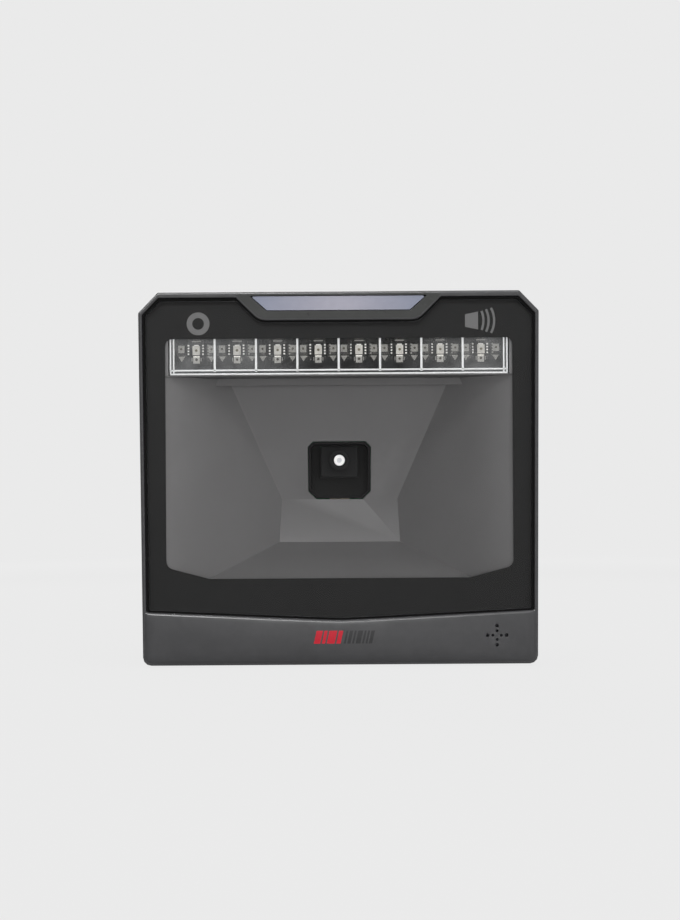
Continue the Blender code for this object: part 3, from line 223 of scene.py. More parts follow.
def circuit_board(name, colour, roughness, copper):
    """Solder mask over a pattern of tracks that shows as relief and as a slightly paler tone."""
    n = surface(
        name, colour, roughness, grain=1500.0, strength=0.1, distance=0.00002, tone=0.08, wear=1.2
    )
    cells = n.add("ShaderNodeTexVoronoi", feature="DISTANCE_TO_EDGE", distance="CHEBYCHEV")
    cells.inputs["Scale"].default_value = 520.0
    cells.inputs["Randomness"].default_value = 0.65
    n.link(n.coordinates, cells.inputs["Vector"])
    track = n.spread(cells.outputs["Distance"], 1.0, 0.0, 0.06, 0.1)
    colour_over = n.mix(n.math("MULTIPLY", track, 0.55), n.base_colour(), copper)
    n.link(colour_over, n.shader.inputs["Base Color"])
    n.relief(track, 0.35, 0.00006)
    return n


def clear_sheet(name, gloss, tint, roughness):
    """A clear pane that lets light straight through, with a faint, smeared reflection."""
    n = Nodes(name)
    through = n.add("ShaderNodeBsdfTransparent")
    through.inputs["Color"].default_value = (*tint, 1.0)
    mirror = n.add("ShaderNodeBsdfGlossy")
    smear = n.noise(90.0, 4.0)
    hair = n.noise(1400.0, 2.0, (1.0, 1.0, 0.08))
    scratches = n.spread(hair, 0.5, 1.0, 0.35, 0.65)
    haze = n.math("MULTIPLY", n.spread(smear, 0.5, 1.0), scratches)
    n.link(n.spread(haze, roughness * 0.5, roughness * 2.2), mirror.inputs["Roughness"])
    fresnel = n.add("ShaderNodeFresnel")
    fresnel.inputs["IOR"].default_value = 1.45
    share = n.math("MULTIPLY", fresnel.outputs["Fac"], gloss)
    blend = n.add("ShaderNodeMixShader")
    n.link(share, blend.inputs[0])
    n.link(through.outputs[0], blend.inputs[1])
    n.link(mirror.outputs[0], blend.inputs[2])
    n.link(blend.outputs[0], n.output.inputs["Surface"])
    return n


def diffuser():
    """Milky light pipe, palest at its middle, with painted shade that makes it bluer and darker
    towards both ends.
    """
    n = surface(
        "diffuser", (0.29, 0.285, 0.34), 0.32, grain=1800.0, strength=0.1,
        distance=0.00002, tone=0.04, wear=1.1
    )
    from_middle = n.math("ABSOLUTE", n.across())
    # Painted shade: the colour turns bluer and darker towards both ends of the light pipe.
    ends = n.spread(from_middle, 0.0, 1.0, 4.0 * MM, 30.0 * MM)
    colour = n.mix(n.math("MULTIPLY", ends, 0.8), n.base_colour(), (0.175, 0.195, 0.262))
    n.link(colour, n.shader.inputs["Base Color"])
    return n


def milky(name, haze, painted_reflection_amount, gloss, tint):
    """Clear moulded plastic with a faint haze, and a painted reflection: a pale cloud that grows
    towards both ends.
    """
    n = clear_sheet(name, gloss, tint, 0.1)
    body = n.add("ShaderNodeBsdfDiffuse")
    body.inputs["Color"].default_value = (0.75, 0.76, 0.77, 1.0)
    cloud = n.noise(160.0, 3.0)
    clearest = 7.0 * MM
    from_clearest = n.math("ABSOLUTE", n.math("SUBTRACT", n.across(), clearest))
    # Painted reflection: the pale cloud is least near x = 7 mm and grows towards both ends.
    ends = n.spread(from_clearest, 0.0, painted_reflection_amount, 17.0 * MM, 45.0 * MM)
    all_over = n.spread(cloud, haze * 0.4, haze * 1.6)
    uneven = n.math("ADD", all_over, n.math("MULTIPLY", ends, cloud))
    blend = n.add("ShaderNodeMixShader")
    n.link(uneven, blend.inputs[0])
    n.link(n.output.inputs["Surface"].links[0].from_socket, blend.inputs[1])
    n.link(body.outputs[0], blend.inputs[2])
    n.link(blend.outputs[0], n.output.inputs["Surface"])
    return n


def plastics():
    """Moulded housings, the funnel and the printed films."""
    return {
        "frame_plastic": surface(
            "frame_plastic", (0.047, 0.047, 0.049), 0.34, strength=0.2, specular=0.42
        ),
        "housing_plastic": surface(
            "housing_plastic", (0.05, 0.05, 0.053), 0.55, grain=1500.0, strength=0.5,
            distance=0.00009
        ),
        "mask_black": surface(
            "mask_black", (0.0158, 0.0158, 0.0158), 0.5, grain=3000.0, strength=0.02,
            distance=0.00002, tone=0.05, wear=1.0, specular=0.12
        ),
        "baffle_plastic": surface(
            "baffle_plastic", (0.15, 0.148, 0.149), 0.6, grain=1700.0, strength=0.3,
            distance=0.00006, tone=0.05, wear=1.2
        ),
        "hood_plastic": surface(
            "hood_plastic", (0.016, 0.016, 0.0163), 0.85, grain=1700.0, strength=0.3,
            distance=0.00006, tone=0.12, wear=1.1, specular=0.15
        ),
        "socket_plastic": surface(
            "socket_plastic", (0.025, 0.025, 0.026), 0.4, grain=1800.0, strength=0.2
        ),
        "speaker_plastic": surface("speaker_plastic", (0.03, 0.03, 0.032), 0.5),
        "ribbon_film": surface(
            "ribbon_film", (0.62, 0.55, 0.42), 0.4, grain=1500.0, strength=0.2,
            distance=0.00003, wear=1.1, stretch=(0.06, 1.0, 1.0)
        ),
        "wire_jacket": surface(
            "wire_jacket", (0.5, 0.03, 0.03), 0.45, grain=900.0, strength=0.3,
            distance=0.00008, tone=0.15, wear=1.3
        ),
        "label_film": surface(
            "label_film", (0.5, 0.51, 0.52), 0.4, grain=1600.0, strength=0.12,
            distance=0.00003, tone=0.05, wear=1.05
        ),
    }


def soft_materials():
    """Foam, rubber and paper."""
    return {
        "foam": surface(
            "foam", (0.02, 0.02, 0.02), 0.9, grain=900.0, strength=0.9,
            distance=0.0003, tone=0.25, wear=1.0
        ),
        "foot_rubber": surface(
            "foot_rubber", (0.018, 0.018, 0.018), 0.85, grain=1100.0, strength=0.6,
            distance=0.00015, tone=0.2, wear=1.5
        ),
        "cone_paper": surface(
            "cone_paper", (0.09, 0.09, 0.1), 0.8, grain=1200.0, strength=0.8,
            distance=0.00015, tone=0.25, wear=1.3
        ),
    }


def clear_materials():
    """What light passes through, and the camera's lens."""
    return {
        "window_clear": clear_sheet("window_clear", 0.28, (0.98, 0.98, 0.98), 0.03),
        # Painted reflection: both lamp finishes get a pale cloud towards the ends of the bar,
        # strongest on the thin film.
        "lamp_clear": milky("lamp_clear", 0.05, 0.05, 1.3, (0.96, 0.965, 0.97)),
        "lamp_painted_reflection_film": milky("lamp_painted_reflection_film", 0.005, 0.13, 0.3, (1.0, 1.0, 1.0)),
        "diffuser": diffuser(),
        # Painted reflection: the lens is pale grey, standing in for the reflection of the lights in
        # its front element.
        "lens_glass": surface(
            "lens_glass", (0.75, 0.76, 0.78), 0.12, grain=900.0, strength=0.05,
            distance=0.00001, wear=1.0
        ),
    }


def metals_and_boards():
    """Screws, cans and contacts, and the circuit boards with their tracks."""
    return {
        "screw_steel": brushed("screw_steel", (0.5, 0.5, 0.51), 0.34, 1),
        "shield_steel": brushed("shield_steel", (0.65, 0.65, 0.66), 0.3, 0),
        "gold_contact": brushed("gold_contact", (0.8, 0.6, 0.3), 0.28, 1),
        "touch_copper": surface(
            "touch_copper", (0.75, 0.42, 0.24), 0.35, metallic=1.0, grain=1500.0, strength=0.2,
            distance=0.00003, tone=0.12, wear=1.1
        ),
        "board_black": circuit_board(
            "board_black", (0.02, 0.022, 0.021), 0.4, (0.06, 0.06, 0.055)
        ),
        "board_green": circuit_board(
            "board_green", (0.01, 0.11, 0.045), 0.4, (0.03, 0.2, 0.08)
        ),
    }


def small_part(name, colour, roughness, strength=0.15, tone=0.1, wear=1.1, specular=0.5):
    """A finish for a print or for a chip of a few millimetres."""
    return surface(
        name, colour, roughness, grain=2500.0, strength=strength,
        distance=0.00002, tone=tone, wear=wear, specular=specular
    )


def small_finishes():
    """Prints, chips and rims that are too small to be CAD nodes."""
    return {
        "led_package": small_part("led_package", (0.74, 0.72, 0.67), 0.5, wear=1.2),
        "rib_white": small_part("rib_white", (0.75, 0.76, 0.76), 0.25, tone=0.06),
        "icon_ink": small_part("icon_ink", (0.125, 0.125, 0.125), 0.55, tone=0.08, wear=1.0),
        "bezel_gloss": small_part(
            "bezel_gloss", (0.047, 0.048, 0.047), 0.3, strength=0.08, tone=0.06, specular=0.15
        ),
        "seal_black": small_part(
            "seal_black", (0.018, 0.018, 0.018), 0.95, strength=0.9, tone=0.25, specular=0.1
        ),
        # Painted shadow: near black, for the strip in the gap round the window glass.
        "painted_shadow_black": small_part("painted_shadow_black", (0.005, 0.005, 0.005), 0.9, specular=0.05),
        "mark_red": small_part("mark_red", (0.4, 0.01, 0.022), 0.5, tone=0.08, specular=0.2),
        "mark_dark": small_part("mark_dark", (0.008, 0.008, 0.009), 0.6),
        "solder_white": small_part("solder_white", (0.9, 0.9, 0.88), 0.4, tone=0.15),
        "sensor_grey": small_part("sensor_grey", (0.9, 0.88, 0.82), 0.5, strength=0.3, tone=0.2),
        "driver_grey": small_part("driver_grey", (0.75, 0.74, 0.7), 0.5, strength=0.3, tone=0.25),
        # Painted reflection: a near-white ring, also given a painted glow, stands in for the
        # reflection of the lights in the camera's lens.
        "lens_painted_reflection": small_part("lens_painted_reflection", (0.95, 0.95, 0.95), 0.25, tone=0.03, wear=1.0),
        "phosphor": small_part("phosphor", (0.2, 0.18, 0.11), 0.45, strength=0.3, tone=0.15),
        "label_ink": small_part("label_ink", (0.05, 0.05, 0.055), 0.5),
    }


# Painted glow: emission strengths that brighten these pale parts behind the glass, which are no
# lamps.
PAINTED_GLOW = {
    "led_package": 0.06,
    "solder_white": 0.18,
    "sensor_grey": 0.42,
    "driver_grey": 0.29,
    "lens_painted_reflection": 0.12,
}


def all_finishes():
    """Every material by name; the pale parts behind the glass get a painted glow, an emission that
    brightens them though they are no lamps.
    """
    finishes = {}
    groups = (
        plastics(), soft_materials(), clear_materials(), metals_and_boards(), small_finishes()
    )
    for group in groups:
        finishes.update(group)
    for name, painted_glow in PAINTED_GLOW.items():
        inputs = finishes[name].shader.inputs
        inputs["Emission Color"].default_value = (1.0, 0.97, 0.9, 1.0)
        inputs["Emission Strength"].default_value = painted_glow
    return {name: nodes.material for name, nodes in finishes.items()}


FINISH = all_finishes()


# ---------------------------------------------------------------- pieces


def add_piece(name, mesh, finish, body="case"):
    """Makes an object of a mesh, gives it a finish and puts it on a body."""
    piece = bpy.data.objects.new(name, mesh)
    bpy.context.scene.collection.objects.link(piece)
    mesh.materials.clear()
    mesh.materials.append(FINISH[finish])
    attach(piece, body)
    return piece


def from_bmesh(bm, name):
    """A mesh of the bmesh, with its faces pointing out; the bmesh is freed."""
    bmesh.ops.recalc_face_normals(bm, faces=bm.faces)
    mesh = bpy.data.meshes.new(name)
    bm.to_mesh(mesh)
    bm.free()
    return mesh


def soften(piece, width, segments=2, angle=32.0):
    """Rounds the piece's edges and shades it smoothly."""
    weld = piece.modifiers.new("weld", "WELD")
    weld.merge_threshold = WELD_DISTANCE
    flat = piece.modifiers.new("flat", "DECIMATE")
    flat.decimate_type = "DISSOLVE"
    flat.angle_limit = math.radians(0.6)
    bevel = piece.modifiers.new("edges", "BEVEL")
    bevel.width = width
    bevel.segments = segments
    bevel.limit_method = "ANGLE"
    bevel.angle_limit = math.radians(angle)
    bevel.use_clamp_overlap = True
    attributes = piece.data.attributes
    if "custom_normal" in attributes:
        attributes.remove(attributes["custom_normal"])
    for polygon in piece.data.polygons:
        polygon.use_smooth = True
    even_normals(piece, 80)


def even_normals(piece, weight):
    """Lets the large faces rule the shading at a rounded edge."""
    even = piece.modifiers.new("normals", "WEIGHTED_NORMAL")
    even.weight = weight
    even.keep_sharp = True


def prism(bm, outline, front, back):
    """A flat plate of (x, height) points between two depths."""
    near = [bm.verts.new(place(x, front, h)) for x, h in outline]
    far = [bm.verts.new(place(x, back, h)) for x, h in outline]
    bm.faces.new(near)
    bm.faces.new(list(reversed(far)))
    for i in range(len(outline)):
        bm.faces.new((near[i - 1], far[i - 1], far[i], near[i]))


def block(bm, low, high):
    """A box between two (x, depth, height) corners."""
    x0, d0, h0 = low
    x1, d1, h1 = high
    prism(bm, [(x0, h0), (x1, h0), (x1, h1), (x0, h1)], d0, d1)


def ring_segment(bm, x, height, outer, inner, front, back,
                 start=0.0, end=math.tau, steps=40):
    """Part of a flat ring between two depths; a whole turn closes on itself."""
    whole = end - start >= math.tau
    count = steps if whole else steps + 1
    angles = [start + (end - start) * i / steps for i in range(count)]
    loops = []
    for depth in (front, back):
        for radius in (outer, inner):
            points = [(x + radius * math.cos(a), height + radius * math.sin(a)) for a in angles]
            loops.append([bm.verts.new(place(px, depth, ph)) for px, ph in points])
    front_outer, front_inner, back_outer, back_inner = loops
    section = (front_outer, front_inner, back_inner, back_outer)
    for first, second in zip(section, section[1:] + section[:1]):
        for i in range(0 if whole else 1, count):
            bm.faces.new((first[i - 1], first[i], second[i], second[i - 1]))
    if not whole:
        for i in (0, -1):
            bm.faces.new([loop[i] for loop in section])


# ---------------------------------------------------------------- CAD nodes


EDGE_WIDTHS = {
    "rear_housing": 0.45 * MM,
    "optical_baffle": 0.35 * MM,
    "status_light_lens": 0.25 * MM,
    "camera_hood": 0.2 * MM,
    "interface_socket": 0.25 * MM,
    "main_board": 0.1 * MM,
    "rating_label": 0.05 * MM,
}
SMALL_EDGE = 0.08 * MM
SMALL = (
    "screw", "led", "foot", "barrel", "element", "speaker", "pad", "board", "can", "harness",
    "ribbon",
)


def moulding(name, finish):
    """A welded copy of a CAD node: its flat faces stay flat, its rounded edges shade smoothly."""
    bm = bmesh.new()
    bm.from_mesh(frame["nodes"][name].data)
    bmesh.ops.remove_doubles(bm, verts=bm.verts, dist=WELD_DISTANCE)
    flat, sharp = math.radians(0.25), math.radians(42.0)
    bmesh.ops.dissolve_limit(bm, angle_limit=flat, verts=bm.verts, edges=bm.edges)
    for face in bm.faces:
        face.smooth = True
    for edge in bm.edges:
        edge.smooth = edge.calc_face_angle(0.0) < sharp
    mesh = bpy.data.meshes.new(name)
    bm.to_mesh(mesh)
    bm.free()
    piece = add_piece(f"{name}_moulding", mesh, finish)
    even_normals(piece, 60)
    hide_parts(name)


def finish_cad_nodes():
    """Gives every CAD node the finish of its slot; softens the edges of the listed nodes and of the
    small parts, and replaces the front frame with a smoothly shaded moulding.
    """
    for part in frame["record"]["subparts"]:
        name, slot = part["node"], part["material_slot"]
        node = frame["nodes"][name]
        node.data.materials.clear()
        node.data.materials.append(FINISH[slot])
        if name in EDGE_WIDTHS:
            soften(node, EDGE_WIDTHS[name])
        elif name == "front_frame":
            moulding(name, slot)
        elif any(word in name for word in SMALL):
            soften(node, SMALL_EDGE, segments=1, angle=40.0)


# ---------------------------------------------------------------- window details


def window_icons():
    """The two touch signs, printed behind the glass: a ring, and a horn with three waves."""
    front, back = 2.6 * MM, 2.72 * MM
    bm = bmesh.new()
    ring_x, ring_height, ring_outer, ring_inner = -52.8 * MM, 128.3 * MM, 4.3 * MM, 2.2 * MM
    ring_segment(bm, ring_x, ring_height, ring_outer, ring_inner, front, back)
    middle = 128.9 * MM
    throat_x, throat = 47.6 * MM, 2.33 * MM
    mouth_x, mouth = 52.5 * MM, 3.4 * MM
    horn = [
        (throat_x, middle - throat), (mouth_x, middle - mouth),
        (mouth_x, middle + mouth), (throat_x, middle + throat),
    ]
    prism(bm, horn, front, back)
    radius, stroke = 10.0 * MM, 0.85 * MM
    for outermost, half_height in ((54.95, 3.74), (56.9, 4.4), (59.0, 4.9)):
        reach = math.asin(half_height * MM / radius)
        centre = outermost * MM - radius
        ring_segment(
            bm, centre, middle, radius, radius - stroke, front, back, -reach, reach, steps=14
        )
    add_piece("window_icons", from_bmesh(bm, "window_icons"), "icon_ink")


def flat_plate(name, outlines, front, back):
    """A plate from its outline and the outlines of its holes, all as (x, height) points."""
    curve = bpy.data.curves.new(name, "CURVE")
    curve.dimensions = "2D"
    curve.fill_mode = "BOTH"
    curve.extrude = (back - front) / 2
    for outline in outlines:
        spline = curve.splines.new("POLY")
        spline.points.add(len(outline) - 1)
        for point, (x, height) in zip(spline.points, outline):
            point.co = (x, height, 0.0, 1.0)
        spline.use_cyclic_u = True
    holder = bpy.data.objects.new(name, curve)
    bpy.context.scene.collection.objects.link(holder)
    evaluated = holder.evaluated_get(bpy.context.evaluated_depsgraph_get())
    mesh = bpy.data.meshes.new_from_object(evaluated)
    bpy.data.objects.remove(holder)
    middle = Matrix.Translation(place(0.0, (front + back) / 2, 0.0))
    mesh.transform(middle @ Matrix.Rotation(math.pi / 2, 4, "X"))
    mesh.name = name
    return mesh


def grown(points, distance):
    """An anticlockwise outline moved outwards by a distance."""
    moved = []
    for i, point in enumerate(points):
        before = (point - points[i - 1]).normalized()
        after = (points[(i + 1) % len(points)] - point).normalized()
        outwards = Vector((before.y + after.y, -before.x - after.x))
        moved.append(point + outwards * distance / (1.0 + before.dot(after)))
    return moved


def glass_outline():
    """The edge of the window glass as (x, height) points, anticlockwise from the front."""
    bm = bmesh.new()
    bm.from_mesh(frame["nodes"]["window_glass"].data)
    bmesh.ops.remove_doubles(bm, verts=bm.verts, dist=WELD_DISTANCE)
    others = [face for face in bm.faces if face.normal.y > -0.9]
    bmesh.ops.delete(bm, geom=others, context="FACES")
    bmesh.ops.dissolve_faces(bm, faces=bm.faces)
    bm.faces.ensure_lookup_table()
    points = [Vector((vert.co.x, vert.co.z - FOOT_PROUD)) for vert in bm.faces[0].verts]
    bm.free()
    return points


def window_shadow_strip():
    """A black strip that fills the gap between the rim and the edge of the glass: painted shadow,
    standing in for the shade in that gap.
    """
    edge = glass_outline()
    outlines = [grown(edge, SHADOW_STRIP_WIDTH), grown(edge, SHADOW_STRIP_CLEARANCE)]
    mesh = flat_plate("window_shadow_strip", outlines, SHADOW_STRIP_FRONT, SHADOW_STRIP_BACK)
    add_piece("window_shadow_strip", mesh, "painted_shadow_black")


def status_bezel():
    """The polished dark surround of the status light, set just inside the edge of its tab."""
    low, corner, radius = 129.85 * MM, 29.45 * MM, 5.6 * MM
    run, rise, steps = 8.7 * MM, 8.6 * MM, 6
    slope = math.atan2(rise, run)
    arc_start = corner - radius * math.tan(slope / 2)
    right = [(arc_start, low)]
    for step in range(1, steps + 1):
        angle = slope * step / steps
        x = arc_start + radius * math.sin(angle)
        right.append((x, low + radius * (1.0 - math.cos(angle))))
    right.append((corner + run, low + rise))
    right.append((corner + 9.2 * MM, 139.0 * MM))
    outer = right + [(-x, h) for x, h in reversed(right)]
    hole = [(27.0 * MM, 132.6 * MM), (33.3 * MM, 138.45 * MM)]
    inner = hole + [(-x, h) for x, h in reversed(hole)]
    mesh = flat_plate("status_bezel", [outer, inner], -0.06 * MM, 0.02 * MM)
    piece = add_piece("status_bezel", mesh, "bezel_gloss")
    soften(piece, 0.03 * MM, segments=1)


def lamp_ribs():
    """White front edges of the lamp bar, double at its ends and foot, and a thin clear film over
    the bar that carries a painted reflection.
    """
    front, back = LAMP_BAR_FRONT - 0.25 * MM, LAMP_BAR_FRONT + 0.9 * MM
    bm = bmesh.new()
    rib_half, end_half, foot_half = 0.42 * MM, 0.3 * MM, 0.32 * MM
    for i in range(1, CELL_COUNT):
        x = (i - CELL_COUNT / 2) * CELL_PITCH
        block(bm, (x - rib_half, front, 110.2 * MM), (x + rib_half, back, LAMP_BAR_HIGH))
    for side in (-1, 1):
        for x in (63.4 * MM, 62.2 * MM):
            low_x, high_x = side * x - end_half, side * x + end_half
            block(bm, (low_x, front, LAMP_BAR_LOW), (high_x, back, LAMP_BAR_HIGH))
    for height in (109.4 * MM, 110.8 * MM):
        low, high = height - foot_half, height + foot_half
        block(bm, (-LAMP_BAR_HALF, front, low), (LAMP_BAR_HALF, back, high))
    step_low, step_high = 122.9 * MM, 123.2 * MM
    step_front = front + 0.3 * MM
    block(bm, (-LAMP_BAR_HALF, step_front, step_low), (LAMP_BAR_HALF, back, step_high))
    mesh = from_bmesh(bm, "lamp_bar_ribs")
    soften(add_piece("lamp_bar_ribs", mesh, "rib_white"), 0.12 * MM)
    # Painted reflection: a thin clear film over the bar, there to carry the pale cloud towards its
    # ends.
    bm = bmesh.new()
    half = LAMP_BAR_HALF - 0.1 * MM
    front, back = LAMP_BAR_FRONT + 0.2 * MM, LAMP_BAR_FRONT + 0.35 * MM
    block(bm, (-half, front, LAMP_BAR_LOW), (half, back, LAMP_BAR_HIGH))
    mesh = from_bmesh(bm, "lamp_bar_painted_reflection_film")
    add_piece("lamp_bar_painted_reflection_film", mesh, "lamp_painted_reflection_film")


def chip(bm, x, height, half_width, half_height, front):
    """A box on the front of the lamp board."""
    low = (x - half_width, front, height - half_height)
    block(bm, low, (x + half_width, LAMP_BOARD_FRONT, height + half_height))


def dot(bm, x, height, radius, front, steps):
    """A small raised spot of phosphor."""
    pinhole, thickness = 0.02 * MM, 0.06 * MM
    ring_segment(bm, x, height, radius, pinhole, front, front + thickness, steps=steps)


def lamp_board_parts():
    """Chips, resistors and pads round every lamp, and the phosphor of lamps and drivers."""
    pads, sensors, drivers, phosphor = (bmesh.new() for _ in range(4))
    pad_front, sensor_front, driver_front = 15.0 * MM, 14.4 * MM, 14.6 * MM
    resistor_front, resistor_half = 14.9 * MM, (0.32 * MM, 0.3 * MM)
    lamp = LAMP_LED_HEIGHT
    sensor = lamp - 3.5 * MM
    for i in range(CELL_COUNT):
        x = (i - (CELL_COUNT - 1) / 2) * CELL_PITCH
        for column in (-3.1 * MM, 2.5 * MM, 4.5 * MM):
            for row in range(4):
                height = lamp + (row * 1.1 - 1.3) * MM
                chip(pads, x + column, height, *resistor_half, resistor_front)
        for rise, half in ((2.05 * MM, 0.9 * MM), (3.6 * MM, 1.8 * MM)):
            chip(pads, x, lamp + rise, half, 0.22 * MM, pad_front)
        for side in (-1, 1):
            chip(pads, x + side * 1.75 * MM, lamp - 3.4 * MM, 0.18 * MM, 0.7 * MM, pad_front)
            driver_x, driver_height = x + side * 5.8 * MM, lamp + 0.6 * MM
            chip(drivers, driver_x, driver_height, 1.2 * MM, 1.4 * MM, driver_front)
            dot(phosphor, driver_x, driver_height, 0.45 * MM, driver_front - 0.08 * MM, 16)
            middle, base = x + side * 5.7 * MM, lamp - 2.2 * MM
            half, drop = 1.3 * MM, 2.1 * MM
            triangle = [(middle - half, base), (middle, base - drop), (middle + half, base)]
            prism(drivers, triangle, resistor_front, LAMP_BOARD_FRONT)
        chip(sensors, x, sensor, 1.25 * MM, 1.4 * MM, sensor_front)
        dot(phosphor, x, lamp, 0.5 * MM, LAMP_LED_FRONT + 0.12 * MM, 20)
        dot(phosphor, x, sensor, 0.5 * MM, sensor_front - 0.08 * MM, 20)
    pieces = (
        ("lamp_board_parts", pads, "solder_white", "board_black"),
        ("lamp_sensors", sensors, "sensor_grey", "led_package"),
        ("lamp_drivers", drivers, "driver_grey", "board_black"),
        ("lamp_phosphor", phosphor, "phosphor", "led_package"),
    )
    for name, bm, finish, slot in pieces:
        piece = add_piece(name, from_bmesh(bm, name), finish)
        if name in ("lamp_sensors", "lamp_drivers"):
            soften(piece, 0.12 * MM)


def baffle_surround():
    """The edges of the baffle that close the gap below the lamp bar and beside its ends."""
    bm = bmesh.new()
    front, back = 3.9 * MM, 20.0 * MM
    inner, outer = 64.2 * MM, 66.0 * MM
    block(bm, (-outer, front, 108.62 * MM), (outer, back, 108.96 * MM))
    for side in (-1, 1):
        low_x, high_x = sorted((side * inner, side * outer))
        block(bm, (low_x, front, 109.0 * MM), (high_x, back, 127.4 * MM))
    mesh = from_bmesh(bm, "baffle_surround")
    piece = add_piece("baffle_surround", mesh, "baffle_plastic")
    soften(piece, 0.12 * MM)


def camera_details():
    """The black seal that closes the foot of the hood, and a near-white ring round the lens, a
    painted reflection with a painted glow.
    """
    right = [(8.9 * MM, 62.65 * MM), (11.35 * MM, 65.1 * MM),
             (11.35 * MM, 81.95 * MM), (9.95 * MM, 83.35 * MM)]
    outer = right + [(-x, h) for x, h in reversed(right)]
    side, low, high = 7.7 * MM, 70.0 * MM, 82.8 * MM
    hole = [(-side, low), (side, low), (side, high), (-side, high)]
    mesh = flat_plate("hood_seal", [outer, hole], 52.8 * MM, 53.4 * MM)
    add_piece("hood_seal", mesh, "seal_black")
    bm = bmesh.new()
    ring_segment(bm, 0.0, 77.1 * MM, 2.1 * MM, 1.0 * MM, 41.6 * MM, 41.9 * MM, steps=32)
    add_piece("lens_ring", from_bmesh(bm, "lens_ring"), "lens_painted_reflection")


# ---------------------------------------------------------------- chin and back details


def conformed(bm, outline, surface_tree, step=0.6 * MM):
    """Lays a flat outline on the front of the case as a thin raised print."""
    flat = bmesh.new()
    flat.faces.new([flat.verts.new((x, 0.0, h)) for x, h in outline])
    flat.normal_update()
    for axis, normal in ((0, Vector((1.0, 0.0, 0.0))), (1, Vector((0.0, 0.0, 1.0)))):
        low = min(point[axis] for point in outline)
        high = max(point[axis] for point in outline)
        for i in range(1, math.ceil((high - low) / step)):
            geometry = flat.verts[:] + flat.edges[:] + flat.faces[:]
            cut_at = normal * (low + i * step)
            bmesh.ops.bisect_plane(flat, geom=geometry, plane_co=cut_at, plane_no=normal)
    verts = {}
    for vert in flat.verts:
        spot = place(vert.co.x, -20 * MM, vert.co.z)
        hit, _, _, _ = surface_tree.ray_cast(spot, Vector((0.0, 1.0, 0.0)))
        front = max(hit.y - PRINT_RISE, start_bounds[0].y)
        near, far = (hit.x, front, hit.z), (hit.x, hit.y + PRINT_SUNK, hit.z)
        verts[vert] = (bm.verts.new(near), bm.verts.new(far))
    for face in flat.faces:
        bm.faces.new([verts[v][0] for v in face.verts])
        bm.faces.new([verts[v][1] for v in reversed(face.verts)])
    for edge in flat.edges:
        if len(edge.link_faces) == 1:
            first, second = edge.verts
            bm.faces.new((verts[first][0], verts[second][0], verts[second][1], verts[first][1]))
    flat.free()


def chin_mark():
    """A plain mark of slanted bars on the chin: wide red ones, then narrow dark ones."""
    mesh = frame["nodes"]["front_frame"].data
    points = [vertex.co for vertex in mesh.vertices]
    tree = BVHTree.FromPolygons(points, [polygon.vertices for polygon in mesh.polygons])
    low, high, slant = 8.2 * MM, 13.0 * MM, 1.1 * MM
    red = ((-10.0, 2.4), (-7.0, 1.2), (-5.2, 3.0), (-1.6, 1.6))
    dark = ((1.2, 0.7), (2.5, 1.2), (4.3, 0.7), (5.6, 1.8), (8.0, 0.7), (9.3, 0.7), (10.5, 1.3))
    for shade, bars in (("red", red), ("dark", dark)):
        bm = bmesh.new()
        for x, width in bars:
            x0, x1 = x * MM, (x + width) * MM
            outline = [(x0, low), (x1, low), (x1 + slant, high), (x0 + slant, high)]
            conformed(bm, outline, tree)
        name = f"chin_mark_{shade}"
        add_piece(name, from_bmesh(bm, name), f"mark_{shade}")


def socket_contacts():
    """Ten sprung contacts that slope down into the mouth of the interface socket."""
    count, pitch, half = 10, 1.02 * MM, 0.22 * MM
    points = [(63.6, 23.6), (66.0, 23.5), (71.0, 21.0), (71.2, 21.2), (66.2, 23.8), (63.6, 23.9)]
    bm = bmesh.new()
    for i in range(count):
        x = (i - (count - 1) / 2) * pitch
        near = [bm.verts.new(place(x - half, d * MM, h * MM)) for d, h in points]
        far = [bm.verts.new(place(x + half, d * MM, h * MM)) for d, h in points]
        bm.faces.new(near)
        bm.faces.new(list(reversed(far)))
        for j in range(len(points)):
            bm.faces.new((near[j - 1], near[j], far[j], far[j - 1]))
    mesh = from_bmesh(bm, "socket_contacts")
    add_piece("socket_contacts", mesh, "gold_contact")


def label_print():
    """The label's border and three rules for empty fields, with nothing written on it."""
    front, back = LABEL_FACE - 0.05 * MM, LABEL_FACE + 0.02 * MM
    bm = bmesh.new()
    thin = 0.3 * MM
    x0, x1, low, high = -20.8 * MM, 20.8 * MM, 51.2 * MM, 70.8 * MM
    block(bm, (x0, front, low), (x1, back, low + thin))
    block(bm, (x0, front, high - thin), (x1, back, high))
    block(bm, (x0, front, low), (x0 + thin, back, high))
    block(bm, (x1 - thin, front, low), (x1, back, high))
    for height in (65.6, 60.8, 56.0):
        rule = height * MM
        block(bm, (x0 + MM, front, rule), (x1 - 14 * MM, back, rule + thin))
    add_piece("label_border", from_bmesh(bm, "label_border"), "label_ink")


# ---------------------------------------------------------------- studio


def area_light(name, location, target, size, power, glossy=True):
    """A soft panel that faces its target; one that isn't glossy makes no highlight."""
    light = bpy.data.lights.new(name, "AREA")
    light.shape = "RECTANGLE"
    light.size, light.size_y = size
    light.energy = power
    holder = bpy.data.objects.new(name, light)
    holder.location = location
    direction = Vector(target) - Vector(location)
    holder.rotation_euler = direction.to_track_quat("-Z", "Y").to_euler()
    bpy.context.scene.collection.objects.link(holder)
    holder.visible_camera = False
    holder.visible_glossy = glossy
    return holder


